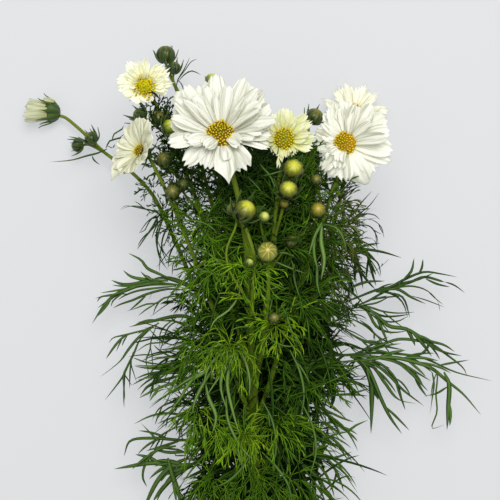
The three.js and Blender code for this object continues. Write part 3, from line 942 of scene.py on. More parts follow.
# Blooms: petals in rings, a disc of florets, a green calyx.
# A ring of petals: the arc they fill (degrees, 90 is the far side), how many there are, and how they grow.
# reach makes the petals longer or shorter towards some directions.
ringFields = (
    "arc", "count", "from", "length", "width", "rise", "curl", "lift", "toothDepth", "ribDepth", "roll",
)
bloomDefaults = {
    "young": False, "ragged": 1.0, "reach": [(0, 1.0)], "grid": (15, 11), "discPaint": "goldenDisc",
    "star": 0.0, "floor": 1.6, "dome": 0.34, "calyxDepth": 8.0, "bractLength": 9.0, "bractLean": 0.1,
    "cupLength": 1.15, "cupLean": 0.6,
}
blooms = {
    "front_bloom": {
        "at": (-17.9, 70.8, 118), "facing": (0, 0.42, 0.91), "seed": 11,
        "paint": "whitePetal", "ragged": 1.6, "reach": [(0, 0.95), (90, 1.06), (180, 1.0), (270, 0.96)],
        "discRadius": 8.9, "florets": 104, "floretSize": 0.2, "floor": 2.2, "dome": 0.36,
        "calyxRadius": 6.5, "calyxDepth": 8.6, "grid": (20, 17),
        "rings": [
            ((-8, 188), 9, 4.2, 31.5, 14.0, 12, 14, 0.2, 0.04, 0.3, 0.35),
            ((0, 180), 9, 4.6, 30.0, 10.5, 20, 12, 0.9, 0.05, 0.3, 0.7),
            ((8, 172), 6, 5.2, 26.0, 8.6, 30, 6, 1.4, 0.06, 0.3, 1.0, {"teeth": 2}),
            ((30, 160), 3, 5.8, 18.0, 5.6, 40, 4, 1.8, 0.12, 0.3, 1.1, {"teeth": 2}),
            ((177, 196), 2, 4.8, 27.0, 12.0, 12, -12, 0.7, 0.08, 0.4, 0.5),
            ((212, 226), 1, 4.4, 24.5, 13.0, 8, -46, 0.3, 0.09, 0.6, 0.3, {"shoulder": 0.12}),
            ((238, 250), 1, 4.4, 23.0, 14.0, 8, -52, 0.6, 0.09, 0.6, 0.3, {"shoulder": 0.12}),
            ((278, 286), 1, 4.4, 31.0, 18.0, 6, -54, 0.6, 0.0, 0.7, 0.2,
             {"teeth": 2, "shoulder": 0.42, "shoulderPower": 1.2, "tipNarrow": 0.55}),
            ((298, 308), 1, 4.4, 28.5, 16.0, 6, -50, 0.2, 0.1, 0.6, 0.3, {"shoulder": 0.14}),
            ((334, 358), 2, 5.0, 28.5, 10.5, 14, -10, 0.9, 0.07, 0.4, 0.5),
            ((188, 212), 2, 6.4, 17.0, 8.5, 34, -28, 1.6, 0.08, 0.5, 0.8),
            ((222, 246), 2, 5.4, 12.5, 8.0, 38, -60, 3.2, 0.1, 0.4, 0.8),
            ((276, 284), 1, 8.4, 12.5, 7.0, 30, -56, 1.8, 0.06, 0.4, 0.7, {"teeth": 2}),
            ((304, 332), 2, 5.4, 13.0, 7.4, 40, -40, 3.2, 0.1, 0.4, 0.8, {"teeth": 2}),
            ((336, 352), 2, 6.8, 21.0, 6.6, 30, -14, 1.6, 0.08, 0.4, 0.9, {"teeth": 2}),
        ],
    },
    "right_bloom": {
        "at": (60.9, 67.3, 92), "facing": (-0.42, 0.08, 0.9), "seed": 23,
        "paint": "sidePetal", "discPaint": "sunDisc", "ragged": 1.6, "discRadius": 7.6, "florets": 80,
        "floretSize": 0.23, "floor": 1.8, "calyxRadius": 6.0, "grid": (17, 13),
        "reach": [(0, 0.98), (60, 0.98), (90, 0.9), (140, 0.68), (180, 0.55), (230, 0.68), (290, 0.92)],
        "rings": [
            ((-20, 175), 9, 4.0, 27.0, 12.5, 2, 4, 0.2, 0.07, 0.3, 0.5, {"toothPoint": 0.8}),
            ((-5, 165), 8, 4.4, 25.5, 9.6, 12, 2, 0.9, 0.08, 0.3, 0.8, {"toothPoint": 0.8}),
            ((20, 150), 5, 5.0, 20.0, 7.0, 26, 0, 1.3, 0.1, 0.4, 1.0, {"teeth": 2}),
            ((276, 294), 1, 4.4, 27.5, 23.0, 16, -84, 1.2, 0.0, 0.4, -0.5,
             {"tipNarrow": 0.1, "shoulder": 0.3}),
            ((312, 345), 2, 4.4, 27.0, 11.0, 2, -16, 0.3, 0.12, 0.6, 0.5, {"toothPoint": 0.6}),
            ((160, 280), 5, 4.4, 26.0, 13.5, 16, -34, 0.8, 0.12, 0.5, 0.3, {"toothPoint": 0.7}),
            ((150, 270), 4, 5.2, 18.0, 10.5, 34, -62, 1.4, 0.14, 0.4, 0.5, {"toothPoint": 0.7}),
            ((206, 262), 2, 4.6, 11.5, 6.6, 42, -62, 3.2, 0.14, 0.5, 0.9, {"toothPoint": 0.7}),
            ((276, 290), 1, 4.8, 11.0, 5.0, 40, -50, 3.0, 0.1, 0.3, 0.8, {"teeth": 2}),
        ],
    },
    "back_bloom": {
        "at": (71.9, 94.6, 11.4), "facing": (0.1, 0.55, 0.83), "seed": 37,
        "paint": "fadedPetal", "ragged": 2.0, "discRadius": 6.8, "florets": 100, "floretSize": 0.17,
        "calyxRadius": 5.6,
        "rings": [
            ((0, 360), 15, 4.0, 20.0, 6.6, 10, 8, 0.2, 0.2, 0.8, 0.8, {"toothPoint": 0.6}),
            ((10, 370), 14, 4.4, 18.0, 5.0, 26, 4, 0.9, 0.22, 0.6, 1.0, {"toothPoint": 0.6}),
            ((0, 360), 10, 5.0, 13.0, 4.2, 44, 0, 1.3, 0.2, 0.5, 1.0, {"teeth": 2}),
        ],
    },
    "young_bloom_right": {
        "at": (21.5, 70.2, 95), "facing": (0, 0.1, 0.99), "seed": 41,
        "young": True, "paint": "limePetal", "discPaint": "limeDisc", "ragged": 1.7, "discRadius": 6.6,
        "florets": 60, "floretSize": 0.27, "floor": 1.4, "calyxRadius": 5.2, "calyxDepth": 7.0,
        "reach": [(0, 1.08), (90, 1.04), (180, 0.66), (230, 0.74), (270, 0.84), (320, 0.8)],
        "rings": [
            ((-30, 200), 10, 4.2, 15.5, 7.6, 14, 6, 0.1, 0.14, 0.35, 0.6, {"toothPoint": 0.7}),
            ((-20, 190), 9, 4.6, 12.5, 5.4, 32, 2, 0.7, 0.14, 0.3, 0.9, {"toothPoint": 0.7}),
            ((0, 170), 5, 5.0, 8.0, 3.2, 50, 0, 1.0, 0.14, 0.4, 0.9, {"teeth": 2}),
            ((200, 330), 5, 4.4, 11.0, 6.6, 14, -60, 0.3, 0.24, 0.4, 0.5, {"toothPoint": 0.6}),
            ((258, 266), 1, 4.6, 17.0, 4.6, 10, -40, 0.6, 0.2, 0.3, 0.6, {"teeth": 2}),
        ],
    },
    "young_bloom_left": {
        "at": (-67.9, 106, 75), "facing": (0, -0.25, 0.97), "seed": 53,
        "young": True, "paint": "creamPetal", "discPaint": "lemonDisc", "ragged": 2.0, "discRadius": 7.0,
        "florets": 60, "floretSize": 0.28, "dome": 0.42, "star": 0.3, "calyxRadius": 5.4,
        "calyxDepth": 7.0, "bractLength": 13.0,
        "reach": [(0, 1.0), (90, 1.08), (140, 0.98), (180, 0.9), (230, 0.8), (270, 0.6), (310, 0.8)],
        "rings": [
            ((-30, 215), 12, 4.0, 15.0, 7.2, 16, 4, 0.1, 0.22, 0.4, 0.6, {"toothPoint": 0.6}),
            ((-20, 205), 10, 4.4, 12.5, 5.2, 30, 2, 0.7, 0.22, 0.35, 0.8, {"toothPoint": 0.6}),
            ((0, 180), 6, 5.0, 9.0, 3.6, 54, 4, 1.0, 0.16, 0.3, 0.9, {"teeth": 2}),
            ((225, 300), 3, 4.6, 11.0, 7.0, 30, -30, 0.5, 0.14, 0.35, 0.6, {"toothPoint": 0.7}),
        ],
    },
    "left_bloom": {
        "at": (-70, 63.2, 85), "facing": (-0.66, 0.3, 0.69), "seed": 61,
        "paint": "ivoryPetal", "discRadius": 3.4, "florets": 32, "floretSize": 0.28, "dome": 0.5,
        "calyxRadius": 5.4, "calyxDepth": 7.6, "grid": (17, 13),
        "reach": [(0, 0.92), (60, 1.0), (100, 1.0), (140, 0.84), (185, 0.74), (232, 0.98), (275, 0.92)],
        "rings": [
            ((0, 360), 9, 3.0, 19.0, 15.0, 36, -34, 0.0, 0.05, 0.3, 0.6, {"toothPoint": 0.8}),
            ((70, 250), 5, 3.2, 18.0, 10.0, 42, -34, 0.5, 0.06, 0.3, 0.7, {"toothPoint": 0.8}),
            ((243, 250), 1, 3.0, 25.0, 18.0, 32, -24, 1.5, 0.0, 0.3, 0.5,
             {"shoulder": 0.34, "shoulderPower": 1.3, "tipNarrow": 0.5}),
        ],
    },
    "half_open_bloom": {
        "at": (-140.4, 95.6, 9.0), "facing": (-0.99, 0.06, 0.02), "seed": 71,
        "young": True, "paint": "tightPetal", "calyxRadius": 7.2, "calyxDepth": 9.0, "bractLength": 15.0,
        "bractLean": 0.85, "cupLength": 1.35, "cupLean": 1.15,
        "rings": [
            ((0, 360), 6, 4.4, 20.5, 12.0, 72, 16, -5.0, 0.1, 0.6, 1.2),
            ((20, 380), 5, 3.0, 19.5, 9.0, 78, 18, -4.0, 0.14, 0.5, 1.3),
            ((0, 360), 4, 1.6, 14.0, 6.0, 80, 14, -3.0, 0.1, 0.3, 1.3, {"teeth": 2}),
            ((50, 120), 3, 8.0, 9.0, 5.6, 60, 50, -5.0, 0.16, 0.4, 1.2),
        ],
    },
}


# how far one petal may differ from the next
petalChance = {
    "place": 0.2, "length": 0.07, "width": 0.13, "rise": 5, "curl": 8, "tooth": 0.4, "roll": 0.35,
    "twist": 0.28, "sweep": 0.06,
}


def growPetals(name, bloom, axes, nodes):
    rng, parts, chance = np.random.default_rng(bloom["seed"]), Parts(), petalChance
    reach, ragged = np.array(bloom["reach"]), bloom["ragged"]
    for ring in (named(ringFields, row) for row in bloom["rings"]):
        for k in range(ring["count"]):
            jitter = rng.uniform(-1, 1, 9)
            azimuth = blendOf(*ring["arc"], (k + 0.5 + chance["place"] * ragged * jitter[8]) / ring["count"])
            longer = np.interp(azimuth % 360, reach[:, 0], reach[:, 1], period=360)
            petalSheet(parts, {
                **ring,
                "azimuth": azimuth,
                "length": ring["length"] * longer * (1 + chance["length"] * ragged * jitter[0]),
                "width": ring["width"] * (1 + chance["width"] * ragged * jitter[1]),
                "rise": ring["rise"] + chance["rise"] * ragged * jitter[2],
                "curl": ring["curl"] + chance["curl"] * ragged * jitter[3],
                "curlPower": 1.4,
                "toothDepth": ring["toothDepth"] * (1 + chance["tooth"] * jitter[4]),
                "roll": ring["roll"] * (1 + chance["roll"] * jitter[5]),
                "wave": 0.9,
                "twist": chance["twist"] * ragged * jitter[6],
                "sweep": chance["sweep"] * ragged * jitter[7],
                "phase": 3 * jitter[0] + 2,
                "shade": 0.5 + 0.5 * jitter[2],
            }, *bloom["grid"], axes, bloom["at"])
    slot = "young_petal" if bloom["young"] else "petal"
    return placePiece(settle(parts.piece(name, paints[bloom["paint"]])), slot, *nodes)


for key, changes in blooms.items():
    bloom = {**bloomDefaults, **changes}
    name, axes = camelName(key), facingAxes(bloom["facing"])
    nodes = [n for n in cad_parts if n.startswith(key + "_petal") or n == key + "_inner_petals"]
    growPetals(name + "Petals", bloom, axes, nodes)
    if "discRadius" in bloom:
        placePiece(growDisc(name + "Disc", bloom, axes), "disc", key + "_disc")
    placePiece(settle(growCalyx(name + "Calyx", bloom, axes)), "calyx", key + "_calyx")
print("blooms made:", len(blooms))


# Buds: balls of eight closed bracts with a star of pale seams on top, in a ring of hooked outer bracts.
budShape = {
    "sectors": 8, "columns": 6, "rows": 14, "flatness": 0.92, "seamDepth": 0.06, "seamWidth": 0.075,
    "swirl": 0.22, "hooks": 7, "hookLength": 2.25, "hookRing": 0.34, "hookSeat": -0.9, "stalkRadius": 0.95,
    "smallStalk": 0.8, "stalkSides": 10, "stalkRibs": 0.05,
}
budFields = ("at", "facing", "radius", "paint", "from")
buds = {
    "bud_top": ((-56.6, 131, 40), (-0.05, 1, 0.1), 6.4, "greenBud", (-56.4, 122.4, 38.8), {"hooks": 1.95}),
    "bud_left_small": ((-119, 72, 13), (-0.95, -0.1, 0.1), 4.4, "darkBud", (-100.5, 65.6, 13),
                       {"hooks": 2.5}),
    "bud_left_upper": ((-55.6, 58.2, 75), (-0.2, 0.5, 0.85), 5.2, "greenBud", (-42, 44, 63.4)),
    "bud_left_lower": ((-49.6, 37.2, 84), (0, 0.3, 0.95), 4.9, "greenBud", (-40, 15, 76)),
    "bud_front": ((-3.1, 24.1, 115), (0.38, 0.6, 0.7), 7.0, "ripeBud", (-2.6, 12.6, 106.6), {"hooks": 2.5}),
    "bud_front_star": ((10.8, -1.2, 119), (0, 0.25, 0.97), 6.2, "starBud", (10.8, -4.6, 110.0)),
    "bud_middle_upper": ((27.0, 50.2, 108), (0.1, 0.4, 0.9), 6.6, "ripeBud", (19.5, 26, 88.5)),
    "bud_middle_lower": ((23.6, 37.2, 113), (0.1, 0.4, 0.9), 6.0, "ripeBud", (15.6, 2, 90.4), {"hooks": 2.6}),
    "bud_right": ((42.8, 25.2, 100), (0, 0.3, 0.95), 4.9, "ochreBud", (38, -14, 76)),
    "bud_right_upper": ((42.2, 87.1, 66), (0.45, 0.7, 0.55), 5.6, "greenBud", (45, 22, 70)),
}
smallBuds = [
    ((-50.7, 121.5, 45), (0.1, 1, 0.3), 4.4, "darkBud", (-46, 98, 41.5), {"hooks": 2.5}),
    ((-72.3, 88.6, 62), (-0.8, 0.5, 0.4), 4.6, "darkBud", (-52, 74, 58), {"hooks": 3.2}),
    ((-60.1, 87.0, 58), (0.2, 0.6, 0.8), 5.0, "greenBud", (-50, 70, 57), {"hooks": 2.8}),
    ((-108.6, 76.6, 21), (-0.5, 0.6, 0.4), 4.6, "darkBud", (-98, 65.6, 14), {"hooks": 2.7}),
    ((-43.5, 42.2, 76), (0.2, 0.3, 0.9), 4.2, "darkBud", (-38, 22, 66)),
    ((8.7, 20.5, 113), (0.3, 0.4, 0.9), 3.5, "paleBud", (13.4, -10, 90), {"hooks": 2.9}),
    ((25.8, 5.7, 101), (0.2, 0.3, 0.9), 4.0, "greenBud", (14, -14, 86)),
    ((14.8, -42.1, 113), (0.2, 0.2, 0.9), 3.4, "greenBud", (9, -54, 90)),
    ((-0.6, -8.0, 113), (0.5, 0.6, 0.6), 2.8, "paleBud", (2.4, -8, 104.5), {"hooks": 2.8}),
    ((21.4, 29.0, 103), (0.1, 0.2, 0.95), 3.0, "ochreBud", (16, -4, 88)),
    ((42, 44.5, 92), (0.1, 0.4, 0.9), 3.6, "greenBud", (47, 26, 76)),
    ((-11, 25.4, 109), (-0.5, 0.5, 0.7), 3.8, "greenBud", (1.6, -40, 97),
     {"by": [(-8.5, 16, 110), (-14.6, 0, 111), (-13, -12, 110), (-5, -26, 106)]}),
    ((-51, 78.4, 88), (0.4, 0.5, 0.75), 5.0, "lemonBud", (-52, 74, 58), {"hooks": 2.8}),
    ((-24.4, 110, 74), (0.1, 0.9, 0.4), 4.6, "paleBud", (-8, 36, 90), {"by": [(-20, 88, 78)], "hooks": 1.6}),
]


def budBall(bud, axes):
    rows, around = budShape["rows"], budShape["sectors"] * budShape["columns"]
    polar = np.linspace(0, math.pi, rows + 2)[1:-1, None]
    turn = 2 * math.pi * np.arange(around)[None, :] / around
    inSector = (np.arange(around) % budShape["columns"])[None, :] / budShape["columns"]
    fromSeam = np.minimum(inSector, 1 - inSector)
    seam = np.exp(-((fromSeam / budShape["seamWidth"]) ** 2)) + 0 * polar
    turn = turn + budShape["swirl"] * np.cos(polar)  # the bracts overlap with a slight twist
    crown = smoothStep(np.cos(polar), 0.35, 0.95)
    fatness = 1 - budShape["seamDepth"] * seam * (1 - 1.6 * crown) + 0.03 * np.sin(math.pi * inSector)
    radius, tip = bud["radius"] * fatness, bud["radius"] * budShape["flatness"]
    x = radius * np.sin(polar) * np.cos(turn)
    y = radius * np.sin(polar) * np.sin(turn)
    z = radius * np.cos(polar) * budShape["flatness"]
    points = np.vstack([np.stack([x, y, z], -1).reshape(-1, 3), (0, 0, tip), (0, 0, -tip)])
    fold = np.clip(1.2 * np.sin(2 * math.pi * inSector), 0, 1) * np.sin(polar)
    values = {
        "height": np.concatenate([(0.5 + 0.5 * np.cos(polar) + 0 * turn).ravel(), [1.0, 0.0]]),
        "seam": np.concatenate([seam.ravel(), [1.0, 1.0]]),
        "stripe": np.concatenate([fold.ravel(), [0.0, 0.0]]),
    }
    places = points @ axes.T + np.asarray(bud["at"], float)
    return finishMesh(makeMesh("ball", places, ringFaces(rows, around), values), paints[bud["paint"]])


def growBud(name, bud, seed):
    axes = facingAxes(bud["facing"])
    green = bud["paint"] in ("greenBud", "darkBud")
    hooks = growWhorl("hooks", bud["at"], axes, budShape["hookSeat"] * bud["radius"], {
        "Bract": hookBract, "Count": budShape["hooks"], "Ring": bud["radius"] * budShape["hookRing"] * mm,
        "Size": bud["radius"] * bud.get("hooks", budShape["hookLength"]) * mm, "Lean": 0.05, "Looseness": 0.2,
        "Seed": seed, "Material": paints["greenBract" if green else "paleBract"],
    })
    return settle(joinPieces(name, [budBall(bud, axes), hooks]))


# a thin stalk from the stem to the foot of the bud
def stalkLine(bud):
    facing = unit(bud["facing"])
    foot = np.asarray(bud["at"], float) - facing * bud["radius"] * 0.8
    every = np.vstack(list(stemLines.values()))
    start = every[np.argmin(np.linalg.norm(every - np.asarray(bud["from"], float), axis=1))]
    bends = [np.asarray(p, float) for p in bud.get("by", [])[::-1]]
    reach = np.linalg.norm(foot - start)
    below = [foot - facing * min(4.0, reach / 3)] if not bends else []
    return smoothLine([start, *bends, *below, foot], 16)


stalks = Skeleton()
for number, (node, row) in enumerate(buds.items()):
    bud = named(budFields, row)
    placePiece(growBud(camelName(node), bud, seeds["buds"] + number), "bud", node)
    stalks.line(stalkLine(bud), budShape["stalkRadius"], 0.7)
for number, row in enumerate(smallBuds):
    bud = named(budFields, row)
    placePiece(growBud(f"smallBud{number + 1}", bud, seeds["smallBuds"] + number), "bud")
    stalks.line(stalkLine(bud), budShape["stalkRadius"] * budShape["smallStalk"], 0.6)
stalkSettings = {
    "Sides": budShape["stalkSides"], "Rib Depth": budShape["stalkRibs"], "Material": paints["greenStem"],
}
placePiece(stalks.piece("budStalks", trees["stem"], stalkSettings), "stem")
for shape in (floret, hookBract, spreadBract, cupBract):
    bpy.data.objects.remove(shape)
print("buds made:", len(buds) + len(smallBuds))


# leaves: flat ribbons along lines, in sprays at the edge, feathery leaves up every stem, and a mat below,
# dark with painted shade
leafShape = {
    "gravity": (0.0, -1.0, -0.15), "lowest": 0.7, "floorRoom": 8, "bloomRoom": 12, "flatness": 0.3,
    "rachisWidth": 0.42, "rachisTaper": (1.2, 0.5), "rachisPoints": 10, "leafletPoints": 6,
    "leafletSpan": (0.16, 0.97), "opening": (42, 16), "forkPoints": 5, "forkSpan": (0.15, 0.75),
    "forkOpening": (16, 38), "shortest": 9, "holdStep": 0.86,
}


def ribbonLook(paint):
    return {"Flatness": leafShape["flatness"], "Material": paints[paint]}


# a line that starts along a heading and bends towards a pull
def bentLine(start, heading, length, pull, count):
    points, step, d = [np.asarray(start, float)], length / (count - 1), unit(heading)
    for _ in range(count - 1):
        points.append(points[-1] + d * step)
        d = unit(d + np.asarray(pull) / (count - 1))
    return np.array(points)


# nothing sinks into the surface or rises over the front bloom
def pressed(points):
    low, high = leafShape["lowest"], bloomTop - leafShape["bloomRoom"]
    below, above = leafShape["floorRoom"], leafShape["bloomRoom"]
    z = points[:, 2]
    z = np.where(z < low + below, low + below * np.exp((z - low - below) / below), z)
    z = np.where(z > high, high + above * (1 - np.exp((high - z) / above)), z)
    return np.column_stack([points[:, :2], z])


# the place and the direction at a share of a line
def placeOn(line, share):
    last = len(line) - 1
    k = min(int(share * last), last - 1)
    return blendOf(line[k], line[k + 1], share * last - k), unit(line[k + 1] - line[k])


def ribbonWidths(count, width, base=0.45, blunt=2.2):
    t = np.linspace(0, 1, count)
    swell = base + (1 - base) * np.sin(np.clip(t / 0.45, 0, 1) * math.pi / 2)
    return width * swell * (1 - t ** blunt) ** 0.8 + 0.04


# Places on the sheet that sprays are laid out on: steps across and down from its top left corner. A step is
# 0.65 mm at its own height, and less above it, because what lies higher is drawn nearer to the middle.
sheet = {"step": 0.65, "stepHeight": 70.0, "middle": 250, "eye": 1000.0}


def sheetStep(height):
    return sheet["step"] * (sheet["eye"] - height) / (sheet["eye"] - sheet["stepHeight"])


def onSheet(across, down, height):
    step = sheetStep(height)
    return (across - sheet["middle"]) * step, (sheet["middle"] - down) * step, height


# The outline of the leafy sheaf: its left and right edges down the sheet.
sheafEdges = np.array([
    (150, 166, 345), (200, 172, 360), (240, 176, 366), (280, 174, 354), (320, 182, 352), (360, 174, 350),
    (400, 168, 336), (440, 172, 328), (480, 176, 326), (560, 174, 324), (620, 190, 310),
], float)


def edgesAt(outline, down):
    return [np.interp(down, outline[:, 0], outline[:, k]) for k in (1, 2)]


def pastEdge(point):
    step = sheetStep(point[2])
    left, right = edgesAt(sheafEdges, sheet["middle"] - point[1] / step)
    return not left <= sheet["middle"] + point[0] / step <= right


# a leaf that would reach past the edge is shorter
def heldIn(at, heading, length):
    while length > leafShape["shortest"] and pastEdge(at + heading * length):
        length *= leafShape["holdStep"]
    return length


# A strand of a spray; long ones sprout a few leaflets of their own.
def layStrand(skeleton, rng, width, heights, places, tone, sprouts):
    rise = np.linspace(*heights, len(places))
    corners = [onSheet(x, y, z) for (x, y), z in zip(places, rise)]
    length = np.linalg.norm(np.diff(corners, axis=0), axis=1).sum()
    line = smoothLine(corners, max(6, int(length / 3.5)))
    line[:, 2] += np.sin(np.linspace(0, math.pi, len(line))) * rng.uniform(-1, 3)
    start, end = rng.normal(0, 0.4, 3), rng.normal(0, 0.6, 3)
    facing = np.array([unit((0, 0.15, 1) + blendOf(start, end, t)) for t in np.linspace(0, 1, len(line))])
    tone += rng.normal(0, 0.04)
    skeleton.line(pressed(line), ribbonWidths(len(line), width, 0.4, 3.5), tone, facing)
    for _ in range(int(sprouts * (length - 12) / 8)):
        k = rng.integers(1, max(2, int(0.7 * len(line))))
        along = unit(line[k + 1] - line[k])
        side = np.cross(facing[k], along) * rng.choice((-1, 1))
        opening = math.radians(rng.uniform(10, 32))
        out = along * math.cos(opening) + side * math.sin(opening) + (0, 0, rng.uniform(-0.2, 0.1))
        pull = along * rng.uniform(-0.2, 1.0) + (0, -rng.uniform(0, 0.7), 0) + rng.normal(0, 0.25, 3)
        leaflet = bentLine(line[k], out, rng.uniform(0.25, 0.6) * min(length, 45), pull, 8)
        thin = ribbonWidths(8, width * rng.uniform(0.6, 0.9), 0.45, 3.0)
        skeleton.line(pressed(leaflet), thin, tone, facing[k])


# One feathery leaf: leaflets leave a bending midrib at sharp angles and fork once more.
def growLeaf(skeleton, rng, base, heading, leaf):
    length, width, tone = leaf["length"], leaf["width"], leaf["tone"]
    gravity = np.array(leafShape["gravity"]) * leaf["droop"] + rng.normal(0, 0.25, 3)
    rachis = bentLine(base, heading, length, gravity, leafShape["rachisPoints"])
    facing = unit(np.array([0, 0.2, 1]) + rng.normal(0, 0.4, 3))
    widths = np.linspace(*leafShape["rachisTaper"], len(rachis)) * leafShape["rachisWidth"] * (0.3 + width)
    skeleton.line(pressed(rachis), widths, tone + 0.08, facing)
    leaflets = max(3, int(length / leaf["every"]))
    hand = rng.choice((-1, 1))
    for k in range(leaflets + 1):
        s = blendOf(*leafShape["leafletSpan"], (k + rng.uniform(-0.3, 0.3)) / leaflets)
        s = np.clip(s, 0.04, 0.98)
        root, along = placeOn(rachis, s)
        normal = unit(facing - along * np.dot(facing, along) + rng.normal(0, 0.25, 3))
        hand = -hand
        side = np.cross(normal, along) * hand
        opening = math.radians(blendOf(*leafShape["opening"], s)) * rng.uniform(0.6, 1.3)
        out = unit(along * math.cos(opening) + side * math.sin(opening) + normal * rng.normal(0, 0.3))
        reach = length * leaf["reach"] * math.sin(math.pi * (0.25 + 0.6 * s)) * rng.uniform(0.6, 1.3)
        curve = along * rng.uniform(-0.5, 1.1) + gravity * 0.6 + rng.normal(0, 0.4, 3)
        leaflet = bentLine(root, out, reach, curve, leafShape["leafletPoints"])
        toneHere, wide = tone + rng.normal(0, 0.07), width * rng.uniform(0.75, 1.25)
        skeleton.line(pressed(leaflet), ribbonWidths(len(leaflet), wide), toneHere, normal)
        for f in range(int(reach / leaf["forkEvery"] + rng.uniform(0, 1))):
            place = rng.uniform(*leafShape["forkSpan"])
            start, way = placeOn(leaflet, place)
            cross = np.cross(normal, way) * (1 if f % 2 else -1)
            angle = math.radians(rng.uniform(*leafShape["forkOpening"]))
            tip = unit(way * math.cos(angle) + cross * math.sin(angle) + normal * rng.normal(0, 0.25))
            short = reach * rng.uniform(0.5, 1.0) * (1.1 - place)
            bend = curve * 0.7 + way * rng.uniform(0, 0.6) + rng.normal(0, 0.3, 3)
            fork = bentLine(start, tip, short, bend, leafShape["forkPoints"])
            skeleton.line(pressed(fork), ribbonWidths(len(fork), wide * 0.8), toneHere + 0.03, normal)


